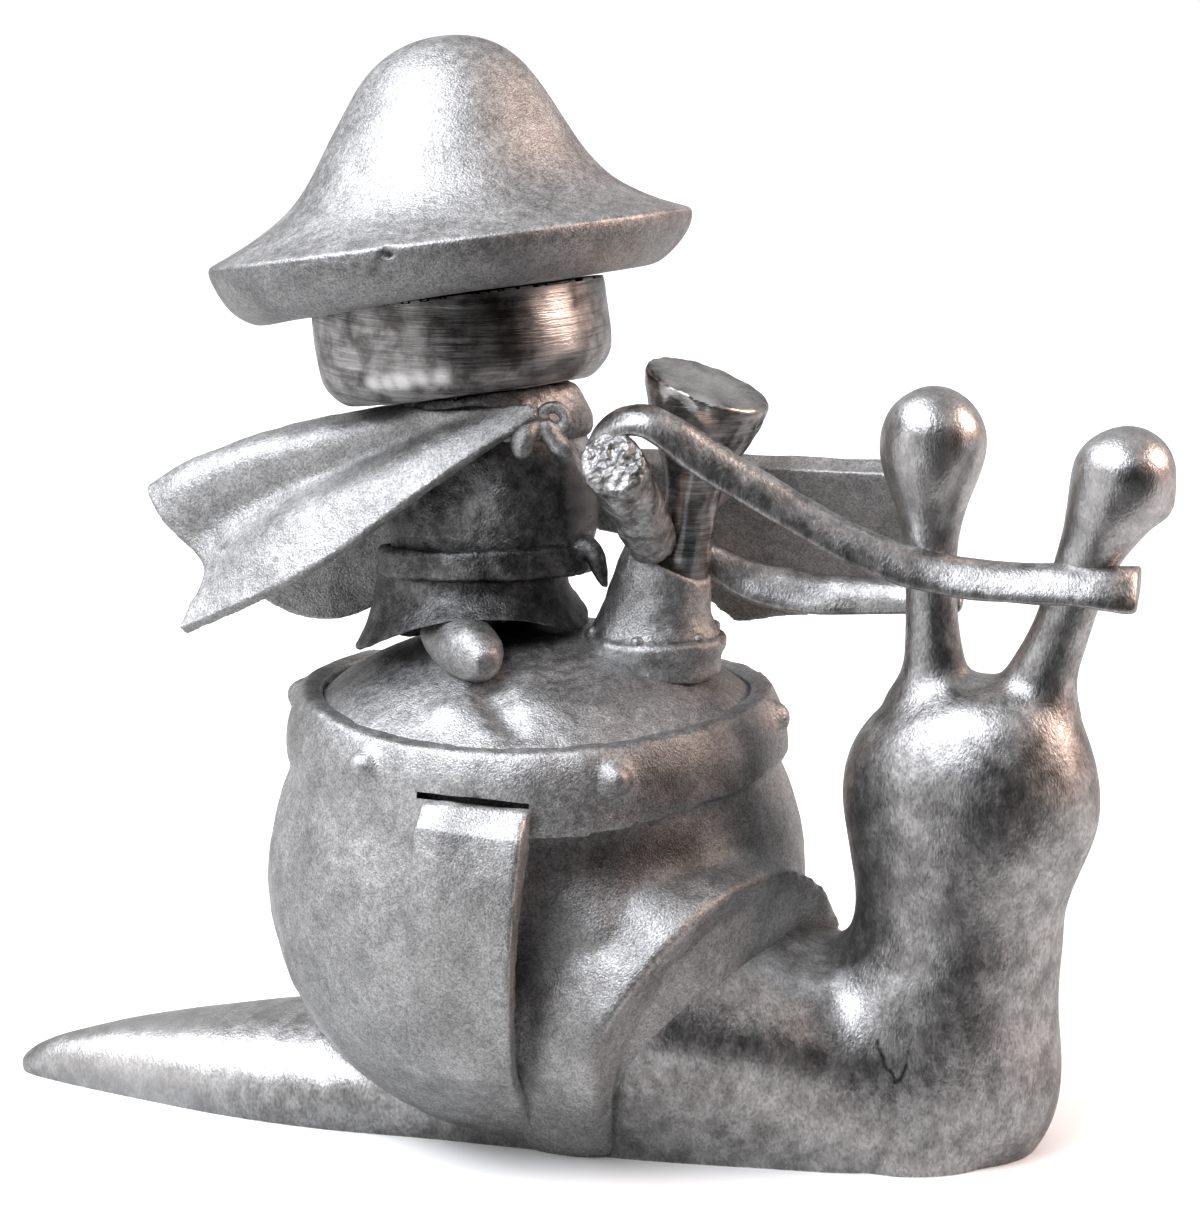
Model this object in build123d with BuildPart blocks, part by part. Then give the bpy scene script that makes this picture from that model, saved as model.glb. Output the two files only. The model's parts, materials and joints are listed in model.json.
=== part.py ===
"""Cast aluminium snail figurine with a caped rider. Millimetres, +Z up, +X the way the snail heads."""
import os
from math import cos, radians, sin, sqrt

from build123d import *

os.makedirs("parts", exist_ok=True)

# Shell: a round pot, a domed cap on its rim, and a band over the joint
shell_radius = 17.9
sole_under_shell = 1.0
shell_sink = 2.2
shell_centre_height = sole_under_shell + shell_radius - shell_sink
pot_wall = 2.2
pot_floor = 3.0
pot_rim_rise = 10.3
pot_rim_height = shell_centre_height + pot_rim_rise
cap_rise = 6.8
cap_edge_height = 1.2
cap_wall = 2.4
dome_rise = cap_rise - cap_edge_height
cap_top_height = pot_rim_height + cap_rise
cap_rim_radius = sqrt(shell_radius**2 - pot_rim_rise**2)
cap_radius = (cap_rim_radius**2 + dome_rise**2) / (2 * dome_rise)
cap_centre_height = cap_top_height - cap_radius
shell_cavity_radius = shell_radius - pot_wall

# Band: a ring that dips at both sides of the snail
band_foot_inset = 0.3
band_belly_reach = 1.9
band_rim_reach = 0.3
band_lap = 0.5
band_foot_radius = shell_radius - band_foot_inset
band_belly_radius = cap_rim_radius + band_belly_reach
band_rim_radius = cap_rim_radius + band_rim_reach
band_inner_radius = cap_rim_radius - band_lap
band_low_side = pot_rim_height - 4.0
band_low_ends = pot_rim_height - 1.7
band_high_side = pot_rim_height + 1.7
band_high_ends = pot_rim_height + 2.6
band_rivet_radius = 1.1
band_rivet_shank = 0.6
band_rivet_depth = band_belly_reach + band_rim_reach
band_rivet_pitch = 60
band_rivet_first = 2.5
band_rivet_rise = [1.0, -0.1, -0.1, 1.0, -0.1, -0.1]
band_rivet_inset = [0.6, 0.1, 0.1, 0.6, 0.1, 0.1]
band_blank_bottom = pot_rim_height - 5.0
band_blank_top = pot_rim_height + 4.0
band_low_half_length = band_belly_radius + 0.5
band_high_half_length = band_rim_radius + 0.6

# Girth straps
strap_width = 7.2
strap_lean = 4
strap_foot_place = -1.4
strap_ledge_thickness = 1.0
strap_middle_thickness = 1.3
strap_top_height = pot_rim_height - 1.0
strap_ledge_height = pot_rim_height - 2.8
strap_ledge_reach = shell_radius + strap_ledge_thickness
strap_middle_reach = shell_radius + strap_middle_thickness
strap_middle_height = shell_centre_height - 2.7
strap_foot_reach = 7.6
strap_root_reach = 4.0
strap_inner_reach = 10.0
strap_ledge_slope = 1.8
strap_foot_depth = -1.0

# Snail body: foot sections (place along X, half width, centre height, half height)
foot_sections = [
    (-36.8, 0.5, 0.6, 0.6),
    (-35.2, 1.5, 0.7, 1.4),
    (-31.0, 3.2, 0.9, 2.8),
    (-26.0, 4.9, 1.1, 3.7),
    (-20.0, 7.0, 1.3, 4.5),
    (-13.0, 8.2, 1.6, 5.2),
    (-4.0, 8.6, 2.4, 5.4),
    (3.0, 10.8, 4.2, 6.2),
    (10.0, 13.0, 5.4, 7.8),
    (15.0, 12.2, 5.4, 8.0),
    (20.0, 10.6, 5.4, 7.8),
    (27.0, 8.6, 4.8, 6.6),
]
# Neck and head sections (height, centre along X, half length, half width)
neck_sections = [
    (-0.5, 25.6, 8.4, 7.8),
    (3.0, 27.2, 8.4, 7.9),
    (6.5, 27.6, 8.2, 7.7),
    (10.0, 28.0, 7.5, 7.1),
    (13.0, 28.4, 6.8, 6.5),
    (16.0, 28.7, 6.5, 6.2),
    (18.6, 28.9, 7.2, 6.5),
    (21.2, 29.3, 8.1, 6.8),
    (24.0, 29.3, 8.4, 6.8),
    (26.6, 29.2, 8.0, 6.3),
    (28.8, 29.4, 7.0, 5.3),
    (30.8, 30.0, 5.8, 4.1),
    (31.8, 30.4, 4.9, 3.2),
]

# Eye stalks
eye_radius = 3.5
rear_eye_place = (26.4, 47.2)
rear_stalk_root = (26.7, 30.6)
front_eye_place = (38.8, 45.2)
front_stalk_root = (33.8, 31.0)
stalk_root_radius = 2.1
stalk_waist_radius = 1.65
stalk_neck_radius = 2.1

# Shell hood: parallel leaning sections (distance ahead of the crest, half width, centre and half height)
hood_inset = 6.85
hood_place = (shell_radius - hood_inset, -3.75)
hood_yaw = 25.8
hood_lean = 19.3
hood_sections = [
    (-10.0, 13.6, 8.0, 8.6),
    (0.0, 13.1, 9.0, 10.6),
    (2.0, 12.2, 8.0, 8.3),
]

# Rider from the seat up
rider_place = -3.6
rider_side = -0.5
seat_rise = 3.1
hip_height = cap_top_height + seat_rise
hip_lean_back = 3
hip_lean_away = 7
skirt_top_radius = 6.3
skirt_hem_radius = 7.5
skirt_place = -4.5
skirt_wall = 1.2
skirt_depth = 4.8
skirt_blank_bottom = cap_top_height - skirt_depth
skirt_blank_rise = 1.2
seat_core_radius = 4.4
hem_arch_radius = 11.0
hem_arch_place = -3.0
hem_arch_drop = 1.3
hem_arch_top = hip_height - hem_arch_drop
belt_height = 2.0
belt_radius = 7.15
belt_round = 0.4
# Torso sections (height above the hip, shift along X, half length, half width)
torso_sections = [
    (0.0, 0.3, 6.3, 5.7),
    (3.5, 0.6, 6.6, 6.1),
    (7.0, 0.6, 6.5, 6.0),
    (9.8, 0.2, 5.3, 5.0),
]
collar_seat_radius = 4.0
collar_depth = 4.5
stud_radius = 1.5
stud_drop = 7.4
stud_bottom_height = cap_top_height - stud_drop
stud_depth_in_torso = 5.0
nut_flats = 5.5
nut_height = 2.4
nut_seat_drop = 4.4
nut_seat_height = cap_top_height - nut_seat_drop
boss_radius = 4.2
boot_heel = (-4.4, 3.4, hip_height - 2.6)
boot_toe = (-1.9, 11.6, hip_height - 4.0)
boot_radius = 2.0
boot_toe_radius = 1.1

# Head and hat on one leaning axis
head_rise = 11.85
head_seat = (-4.6, 0.5, hip_height + head_rise)
head_lean_back = 9
head_lean_away = 6
head_radius = 9.6
head_height = 6.3
head_top_round = 0.6
head_foot_round = 1.8
hat_seat_radius = 4.0
hat_seat_rise = 0.35
pin_radius = 1.6
pin_clearance = 0.05
pin_depth = 2.6
pin_end_gap = 0.2
neck_pin_depth_in_torso = 4.0
hat_pin_reach = 6.0
hat_height = 17.0
hat_foot_radius = 13.3
hat_rim_radius = 16.0
hat_rim_height = 3.0
# Hat outline from the rim's upper edge to the crown (radius, height above the hat's seat)
hat_crown_profile = [
    (15.6, 3.7),
    (13.6, 4.4),
    (11.2, 5.8),
    (9.6, 7.4),
    (8.2, 9.7),
    (6.9, 11.9),
    (5.5, 13.9),
    (4.1, 15.4),
    (2.3, 16.6),
]
hat_rim_under = (15.2, 1.3)

# Cape
cape_thickness = 0.95
scarf_radius = 5.5
scarf_tube = 1.2
scarf_drop = 1.5
knot_place = (0.2, -3.8, hip_height + 10.7)
knot_radius = 1.3
# Cape sections (place along X, then near edge, near flank, ridge, far flank and far edge as Y and rise
# above the hip)
cape_sections = [
    (-3.0, (-8.2, 8.1), (-7.2, 9.7), (0.3, 10.6), (7.4, 9.3), (8.4, 7.5)),
    (-9.0, (-8.8, 3.5), (-7.7, 7.5), (0.0, 10.0), (7.2, 6.5), (8.0, 0.7)),
    (-16.0, (-8.8, -0.9), (-6.9, 4.9), (-0.3, 9.1), (6.4, 3.1), (6.8, -5.5)),
    (-22.0, (-8.2, -3.9), (-5.9, 2.3), (-0.6, 7.4), (4.9, 2.3), (5.6, -3.9)),
    (-28.0, (-6.6, -2.9), (-4.6, 1.1), (-0.8, 4.5), (3.2, 1.5), (4.2, -1.9)),
]
# Outline that trims the cape's trailing edge (place along X, rise above the hip)
cape_trim_outline = [
    (-27.4, 11.1),
    (-27.4, 5.3),
    (-25.2, 4.1),
    (-20.5, -0.3),
    (-22.2, -3.9),
    (-22.2, -8.9),
    (-40.0, -8.9),
    (-40.0, 11.1),
]

# Column in front of the rider
flange_place = 7.95
flange_radius = 4.65
flange_drop = 0.2
flange_depth = 3.0
flange_top = cap_top_height - flange_drop
flange_bottom = flange_top - flange_depth
flange_rivet_radius = 0.45
flange_rivet_ring = 4.1
flange_rivet_depth = 1.2
flange_rivet_first = -92
socket_foot_radius = 3.6
socket_rim_radius = 3.05
socket_rim_place = 8.95
socket_rise = 4.4
socket_rim_height = flange_top + socket_rise
socket_rim_lean = 22
socket_blank_rise = 3.0
socket_blank_shift = 0.4
socket_blank_taper = 0.2
post_radius = 1.6
post_lean = 7.5
post_foot = (9.4, 0.0, flange_top + 0.6)
post_waist_length = 9.0
post_flare_length = 16.4
post_top_radius = 4.2
post_top_tilt = 12
post_blank_rise = 1.4
post_blank_flare = 0.5
peg_root = (8.5, -1.4, socket_rim_height + 1.2)
peg_end = (7.2, -6.6, socket_rim_height + 8.4)
peg_radius = 1.95

# Reins and board
board_thickness = 2.2
board_lean = 18
board_place = 8.6
board_middle_height = socket_rim_height
board_peg_radius = 1.3
board_peg_rise = 4.0
board_peg_height = board_middle_height + board_peg_rise
# Board outline (place along X, rise above its middle)
board_outline = [
    (1.0, 5.6),
    (24.6, 5.6),
    (24.6, -4.0),
    (11.1, -6.4),
    (10.0, -5.4),
    (5.0, -0.4),
    (1.0, 0.5),
]
# Reins: upper and lower line (place along X, rise above the socket's rim), outer and inner line (X, Y)
near_rein_upper = [(5.6, 9.9), (7.8, 11.2), (11.6, 9.7), (19.7, 5.0), (25.3, 2.8), (33.1, 2.2), (40.2, 2.0)]
near_rein_lower = [(40.0, -0.6), (34.2, -0.3), (25.6, 0.3), (19.7, 2.5), (13.0, 6.1), (9.2, 9.4), (6.0, 9.2)]
near_rein_outer = [(5.0, -7.2), (9.0, -7.0), (20.0, -4.2), (27.0, -3.1), (37.0, -3.1), (41.0, -1.9)]
near_rein_inner = [(41.0, -0.2), (37.0, -1.5), (27.0, -1.5), (20.0, -2.7), (9.0, -5.4), (5.0, -5.6)]
far_rein_upper = [(10.6, 1.2), (14.5, -0.1), (21.2, -0.7), (28.6, -0.8)]
far_rein_lower = [(28.6, -2.6), (19.2, -3.1), (14.5, -2.8), (10.6, -0.5)]
far_rein_outer = [(10.0, 2.5), (15.0, 3.2), (21.0, 3.3), (26.6, 2.9), (29.2, 1.6)]
far_rein_inner = [(29.2, 0.4), (26.6, 1.5), (21.0, 2.0), (15.0, 1.9), (10.0, 1.2)]

# Base screws
screw_pitch = 8.0
screw_shank_radius = 1.0
screw_head_radius = 1.8
screw_head_bottom = 0.2
screw_head_height = 0.6
screw_top = 3.4

# Block that trims a form at the ground or at a rim, and the reach of a cut through the whole thing
trim_block = 200
cut_reach = 40


def leaning_axis(back, away):
    """Unit direction that leans back toward -X and away toward +Y."""
    level = cos(radians(back))
    return (-sin(radians(back)), sin(radians(away)) * level, cos(radians(away)) * level)


hip_plane = Plane(
    origin=(rider_place, rider_side, hip_height),
    x_dir=(cos(radians(hip_lean_back)), 0, sin(radians(hip_lean_back))),
    z_dir=leaning_axis(hip_lean_back, hip_lean_away),
)
head_plane = Plane(
    origin=head_seat,
    x_dir=(cos(radians(head_lean_back)), 0, sin(radians(head_lean_back))),
    z_dir=leaning_axis(head_lean_back, head_lean_away),
)
head_section = Plane(origin=head_seat, x_dir=head_plane.x_dir, z_dir=-head_plane.y_dir)
head_axis = Axis(head_plane.origin, head_plane.z_dir)
hat_seat = head_height + hat_seat_rise

# Outer form of the pot and of the cap, used to seat the pieces that sit on them
with BuildPart() as shell_form:
    with Locations((0, 0, shell_centre_height)):
        Sphere(shell_radius, rotation=(0, 0, 125))
    with Locations((0, 0, pot_rim_height)):
        Box(
            trim_block,
            trim_block,
            trim_block,
            align=(Align.CENTER, Align.CENTER, Align.MIN),
            mode=Mode.SUBTRACT,
        )
    with Locations((0, 0, sole_under_shell)):
        Box(
            trim_block,
            trim_block,
            trim_block,
            align=(Align.CENTER, Align.CENTER, Align.MAX),
            mode=Mode.SUBTRACT,
        )

with BuildPart() as cap_form:
    with Locations((0, 0, cap_centre_height)):
        Sphere(cap_radius)
    with Locations((0, 0, pot_rim_height)):
        Cylinder(
            cap_rim_radius, trim_block, align=(Align.CENTER, Align.CENTER, Align.MIN), mode=Mode.INTERSECT
        )

# Base screws: from the sole up into the shell's floor
with BuildPart() as base_screws:
    with Locations((-screw_pitch / 2, 0, screw_head_bottom), (screw_pitch / 2, 0, screw_head_bottom)):
        Cylinder(
            screw_head_radius, screw_head_height, align=(Align.CENTER, Align.CENTER, Align.MIN)
        )
        Cylinder(
            screw_shank_radius,
            screw_top - screw_head_bottom,
            align=(Align.CENTER, Align.CENTER, Align.MIN),
        )
base_screws.part.label = "base_screws"

# Eye stalks: a slim stem that swells into a ball
rear_stem = Vector(rear_eye_place[0] - rear_stalk_root[0], 0, rear_eye_place[1] - rear_stalk_root[1])
front_stem = Vector(front_eye_place[0] - front_stalk_root[0], 0, front_eye_place[1] - front_stalk_root[1])
rear_root = Vector(rear_stalk_root[0], 0, rear_stalk_root[1])
front_root = Vector(front_stalk_root[0], 0, front_stalk_root[1])

with BuildPart() as eye_stalk_rear:
    with BuildSketch(Plane(origin=rear_root, z_dir=rear_stem)):
        Circle(stalk_root_radius)
    with BuildSketch(Plane(origin=rear_root + rear_stem * 0.35, z_dir=rear_stem)):
        Circle(stalk_waist_radius)
    with BuildSketch(Plane(origin=rear_root + rear_stem * 0.62, z_dir=rear_stem)):
        Circle(stalk_neck_radius)
    with BuildSketch(Plane(origin=rear_root + rear_stem * 0.86, z_dir=rear_stem)):
        Circle(eye_radius * 0.72)
    loft()
    with Locations(rear_root + rear_stem):
        Sphere(eye_radius)
eye_stalk_rear.part.label = "eye_stalk_rear"

with BuildPart() as eye_stalk_front:
    with BuildSketch(Plane(origin=front_root, z_dir=front_stem)):
        Circle(stalk_root_radius)
    with BuildSketch(Plane(origin=front_root + front_stem * 0.35, z_dir=front_stem)):
        Circle(stalk_waist_radius)
    with BuildSketch(Plane(origin=front_root + front_stem * 0.62, z_dir=front_stem)):
        Circle(stalk_neck_radius)
    with BuildSketch(Plane(origin=front_root + front_stem * 0.86, z_dir=front_stem)):
        Circle(eye_radius * 0.72)
    loft()
    with Locations(front_root + front_stem):
        Sphere(eye_radius)
eye_stalk_front.part.label = "eye_stalk_front"

# Snail body: foot and tail along the ground, neck and head rising from it
with BuildPart() as snail_body:
    for place, half_width, centre, half_height in foot_sections:
        with BuildSketch(Plane.YZ.offset(place)):
            with Locations((0, centre)):
                Ellipse(half_width, half_height)
    loft()
    for height, centre, half_length, half_width in neck_sections:
        with BuildSketch(Plane.XY.offset(height)):
            with Locations((centre, 0)):
                Ellipse(half_length, half_width)
    loft()
    Box(
        trim_block,
        trim_block,
        trim_block,
        align=(Align.CENTER, Align.CENTER, Align.MAX),
        mode=Mode.SUBTRACT,
    )
    add(shell_form.part, mode=Mode.SUBTRACT)
    add(eye_stalk_rear.part, mode=Mode.SUBTRACT)
    add(eye_stalk_front.part, mode=Mode.SUBTRACT)
    add(base_screws.part, mode=Mode.SUBTRACT)
    with Locations((-screw_pitch / 2, 0, 0), (screw_pitch / 2, 0, 0)):
        Cylinder(
            screw_head_radius,
            screw_head_bottom,
            align=(Align.CENTER, Align.CENTER, Align.MIN),
            mode=Mode.SUBTRACT,
        )
snail_body.part.label = "snail_body"

# Rivets round the band, each a round head on a short shank
with BuildPart() as band_rivets:
    for place in range(6):
        turn = radians(band_rivet_first + band_rivet_pitch * place)
        out = Vector(cos(turn), sin(turn), 0)
        reach = band_belly_radius - band_rivet_inset[place]
        seat = out * reach + Vector(0, 0, pot_rim_height + band_rivet_rise[place])
        with Locations(seat):
            Sphere(band_rivet_radius)
        with BuildSketch(Plane(origin=seat, z_dir=-out)):
            Circle(band_rivet_shank)
        extrude(amount=band_rivet_depth)
band_rivets.part.label = "band_rivets"

# Band: a ring with a raised rim that dips at both sides
with BuildPart() as shell_band:
    with BuildSketch(Plane.XZ):
        with BuildLine():
            Polyline(
                (band_rim_radius, band_blank_top),
                (band_inner_radius, band_blank_top),
                (band_inner_radius, band_blank_bottom),
                (band_foot_radius, band_blank_bottom),
            )
            Spline(
                (band_foot_radius, band_blank_bottom),
                (band_belly_radius + 0.15, pot_rim_height - 1.7),
                (band_belly_radius, pot_rim_height),
                (band_belly_radius - 0.6, pot_rim_height + 1.6),
                (band_rim_radius, band_blank_top),
            )
        make_face()
    revolve(axis=Axis.Z)
    with BuildSketch(Plane.XZ):
        with BuildLine():
            ThreePointArc(
                (-band_low_half_length, band_low_ends),
                (0, band_low_side),
                (band_low_half_length, band_low_ends),
            )
            Polyline(
                (band_low_half_length, band_low_ends),
                (cut_reach, band_low_ends),
                (cut_reach, 0),
                (-cut_reach, 0),
                (-cut_reach, band_low_ends),
                (-band_low_half_length, band_low_ends),
            )
        make_face()
    extrude(amount=cut_reach, both=True, mode=Mode.SUBTRACT)
    with BuildSketch(Plane.XZ):
        with BuildLine():
            ThreePointArc(
                (-band_high_half_length, band_high_ends),
                (0, band_high_side),
                (band_high_half_length, band_high_ends),
            )
            Polyline(
                (band_high_half_length, band_high_ends),
                (cut_reach, band_high_ends),
                (cut_reach, band_high_ends + cut_reach),
                (-cut_reach, band_high_ends + cut_reach),
                (-cut_reach, band_high_ends),
                (-band_high_half_length, band_high_ends),
            )
        make_face()
    extrude(amount=cut_reach, both=True, mode=Mode.SUBTRACT)
    add(shell_form.part, mode=Mode.SUBTRACT)
    add(cap_form.part, mode=Mode.SUBTRACT)
    add(band_rivets.part, mode=Mode.SUBTRACT)
shell_band.part.label = "shell_band"

# Girth straps: one down each side, wide ledge at the top
strap_up = Plane(
    origin=(strap_foot_place, 0, 0),
    x_dir=(0, 1, 0),
    z_dir=(cos(radians(strap_lean)), 0, -sin(radians(strap_lean))),
)
with BuildPart() as girth_strap_right:
    with BuildSketch(strap_up):
        with BuildLine():
            ThreePointArc(
                (-strap_ledge_reach, strap_ledge_height),
                (-strap_middle_reach, strap_middle_height),
                (-strap_foot_reach, strap_foot_depth),
            )
            Polyline(
                (-strap_foot_reach, strap_foot_depth),
                (-strap_root_reach, strap_foot_depth),
                (-strap_inner_reach, strap_top_height),
                (-strap_ledge_reach + strap_ledge_slope, strap_top_height),
                (-strap_ledge_reach, strap_ledge_height),
            )
        make_face()
    extrude(amount=strap_width / 2, both=True)
    Box(
        trim_block,
        trim_block,
        trim_block,
        align=(Align.CENTER, Align.CENTER, Align.MAX),
        mode=Mode.SUBTRACT,
    )
    add(shell_form.part, mode=Mode.SUBTRACT)
    add(shell_band.part, mode=Mode.SUBTRACT)
    add(band_rivets.part, mode=Mode.SUBTRACT)
    add(snail_body.part, mode=Mode.SUBTRACT)
girth_strap_right.part.label = "girth_strap_right"

with BuildPart() as girth_strap_left:
    add(mirror(girth_strap_right.part, about=Plane.XZ))
girth_strap_left.part.label = "girth_strap_left"

# Shell hood: leaning arches between the pot and the body
hood_ahead = Vector(cos(radians(hood_yaw)), -sin(radians(hood_yaw)), 0)
hood_across = Vector(sin(radians(hood_yaw)), cos(radians(hood_yaw)), 0)
hood_up = hood_ahead * sin(radians(hood_lean)) + Vector(0, 0, cos(radians(hood_lean)))
with BuildPart() as hood_form:
    for ahead, half_width, centre, half_height in hood_sections:
        section = Plane(
            origin=Vector(*hood_place, 0) + hood_ahead * ahead,
            x_dir=hood_across,
            z_dir=hood_across.cross(hood_up),
        )
        with BuildSketch(section):
            with Locations((0, centre)):
                Ellipse(half_width, half_height)
    loft()
    Box(
        trim_block,
        trim_block,
        trim_block,
        align=(Align.CENTER, Align.CENTER, Align.MAX),
        mode=Mode.SUBTRACT,
    )
    add(shell_form.part, mode=Mode.SUBTRACT)
    add(girth_strap_right.part, mode=Mode.SUBTRACT)
    add(girth_strap_left.part, mode=Mode.SUBTRACT)
    add(snail_body.part, mode=Mode.SUBTRACT)
    add(base_screws.part, mode=Mode.SUBTRACT)

with BuildPart() as shell_hood:
    add(hood_form.part.solids().sort_by(SortBy.VOLUME)[-1])
shell_hood.part.label = "shell_hood"


# Rider stud and its nut under the cap
with BuildPart() as rider_stud:
    with Locations((rider_place, rider_side, stud_bottom_height)):
        Cylinder(
            stud_radius,
            hip_height + stud_depth_in_torso - stud_bottom_height,
            align=(Align.CENTER, Align.CENTER, Align.MIN),
        )
rider_stud.part.label = "rider_stud"

with BuildPart() as rider_nut:
    with BuildSketch(Plane.XY.offset(nut_seat_height)):
        with Locations((rider_place, rider_side)):
            RegularPolygon(nut_flats / 2, 6, major_radius=False)
    extrude(amount=-nut_height)
    add(rider_stud.part, mode=Mode.SUBTRACT)
rider_nut.part.label = "rider_nut"

# Flange rivets, pot and cap
with BuildPart() as flange_rivets:
    for place in range(6):
        turn = radians(flange_rivet_first + 60 * place)
        seat = Vector(
            flange_place + flange_rivet_ring * cos(turn), flange_rivet_ring * sin(turn), flange_top
        )
        with Locations(seat):
            Sphere(flange_rivet_radius)
            Cylinder(
                flange_rivet_radius * 0.6,
                flange_rivet_depth,
                align=(Align.CENTER, Align.CENTER, Align.MAX),
            )
flange_rivets.part.label = "flange_rivets"

with BuildPart() as shell_pot:
    add(shell_form.part)
    with Locations((0, 0, shell_centre_height)):
        Sphere(shell_cavity_radius, mode=Mode.SUBTRACT)
    with BuildSketch(Plane.XY.offset(sole_under_shell)):
        Circle(cap_rim_radius)
    extrude(amount=pot_floor)
    add(shell_form.part, mode=Mode.INTERSECT)
    add(base_screws.part, mode=Mode.SUBTRACT)
    add(band_rivets.part, mode=Mode.SUBTRACT)
shell_pot.part.label = "shell_pot"

with BuildPart() as shell_cap:
    add(cap_form.part)
    with Locations((0, 0, cap_centre_height)):
        Sphere(cap_radius - cap_wall, mode=Mode.SUBTRACT)
    with Locations((rider_place, rider_side, nut_seat_height)):
        Cylinder(
            boss_radius,
            cap_top_height - cap_wall + 0.4 - nut_seat_height,
            align=(Align.CENTER, Align.CENTER, Align.MIN),
        )
    add(rider_stud.part, mode=Mode.SUBTRACT)
    add(flange_rivets.part, mode=Mode.SUBTRACT)
    add(band_rivets.part, mode=Mode.SUBTRACT)
shell_cap.part.label = "shell_cap"

# Rider's skirt: a short bell with an arched hem round a solid seat
with BuildPart() as rider_skirt:
    with Locations((skirt_place, rider_side, skirt_blank_bottom)):
        Cone(
            skirt_hem_radius,
            skirt_top_radius,
            hip_height + skirt_blank_rise - skirt_blank_bottom,
            align=(Align.CENTER, Align.CENTER, Align.MIN),
        )
        Cone(
            skirt_hem_radius - skirt_wall,
            skirt_top_radius - skirt_wall,
            hem_arch_top - skirt_blank_bottom,
            align=(Align.CENTER, Align.CENTER, Align.MIN),
            mode=Mode.SUBTRACT,
        )
    with BuildSketch(Plane.XZ):
        with Locations((hem_arch_place, hem_arch_top - hem_arch_radius)):
            Circle(hem_arch_radius)
    extrude(amount=cut_reach, both=True, mode=Mode.SUBTRACT)
    with Locations((rider_place, rider_side, skirt_blank_bottom)):
        Cylinder(
            seat_core_radius,
            hip_height + skirt_blank_rise - skirt_blank_bottom,
            align=(Align.CENTER, Align.CENTER, Align.MIN),
        )
    split(bisect_by=hip_plane, keep=Keep.BOTTOM)
    add(cap_form.part, mode=Mode.SUBTRACT)
    add(rider_stud.part, mode=Mode.SUBTRACT)
rider_skirt.part.label = "rider_skirt"

# Neck pin, hat pin, torso, belt and scarf
with BuildPart() as neck_pin:
    with BuildSketch(head_plane.offset(-neck_pin_depth_in_torso)):
        Circle(pin_radius)
    extrude(amount=neck_pin_depth_in_torso + pin_depth)
neck_pin.part.label = "neck_pin"

with BuildPart() as hat_pin:
    with BuildSketch(head_plane.offset(hat_seat - pin_depth)):
        Circle(pin_radius)
    extrude(amount=pin_depth + hat_pin_reach)
hat_pin.part.label = "hat_pin"

with BuildPart() as rider_torso:
    for height, shift, half_length, half_width in torso_sections:
        with BuildSketch(hip_plane.offset(height)):
            with Locations((shift, 0)):
                Ellipse(half_length, half_width)
    loft()
    with BuildSketch(head_plane):
        Circle(collar_seat_radius)
    extrude(amount=-collar_depth)
    add(rider_stud.part, mode=Mode.SUBTRACT)
    add(neck_pin.part, mode=Mode.SUBTRACT)
rider_torso.part.label = "rider_torso"

with BuildPart() as rider_belt:
    with BuildSketch(hip_plane):
        with Locations((torso_sections[0][1], 0)):
            Circle(belt_radius)
    extrude(amount=belt_height)
    fillet(edges().filter_by(GeomType.CIRCLE), belt_round)
    add(rider_torso.part, mode=Mode.SUBTRACT)
    add(rider_stud.part, mode=Mode.SUBTRACT)
rider_belt.part.label = "rider_belt"

with BuildPart() as scarf_ring:
    with Locations(head_plane.offset(-scarf_drop)):
        Torus(scarf_radius, scarf_tube)
    with Locations(knot_place):
        Sphere(knot_radius)
    add(rider_torso.part, mode=Mode.SUBTRACT)
scarf_ring.part.label = "scarf_ring"

# Head drum and hat, both turned on the leaning axis
with BuildPart() as rider_head:
    with BuildSketch(head_section):
        with BuildLine():
            Line((0, 0), (head_radius - head_foot_round, 0))
            RadiusArc(
                (head_radius - head_foot_round, 0), (head_radius, head_foot_round), -head_foot_round
            )
            Line((head_radius, head_foot_round), (head_radius, head_height - head_top_round))
            RadiusArc(
                (head_radius, head_height - head_top_round),
                (head_radius - head_top_round, head_height),
                -head_top_round,
            )
            Polyline(
                (head_radius - head_top_round, head_height),
                (hat_seat_radius, head_height),
                (hat_seat_radius, hat_seat),
                (0, hat_seat),
                (0, 0),
            )
        make_face()
    revolve(axis=head_axis)
    with BuildSketch(head_plane):
        Circle(pin_radius + pin_clearance)
    extrude(amount=pin_depth + pin_end_gap, mode=Mode.SUBTRACT)
    add(hat_pin.part, mode=Mode.SUBTRACT)
rider_head.part.label = "rider_head"

hat_section = Plane(
    origin=head_plane.origin + head_plane.z_dir * hat_seat,
    x_dir=head_section.x_dir,
    z_dir=head_section.z_dir,
)
with BuildPart() as rider_hat:
    with BuildSketch(hat_section):
        with BuildLine():
            Line((0, 0), (hat_foot_radius, 0))
            Spline((hat_foot_radius, 0), hat_rim_under, (hat_rim_radius, hat_rim_height))
            Line((hat_rim_radius, hat_rim_height), hat_crown_profile[0])
            Spline(*hat_crown_profile, (0, hat_height), tangents=((-1, 0.15), (-1, 0)))
            Line((0, hat_height), (0, 0))
        make_face()
    revolve(axis=head_axis)
    with BuildSketch(head_plane.offset(hat_seat)):
        Circle(pin_radius + pin_clearance)
    extrude(amount=hat_pin_reach + pin_end_gap, mode=Mode.SUBTRACT)
rider_hat.part.label = "rider_hat"

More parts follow.
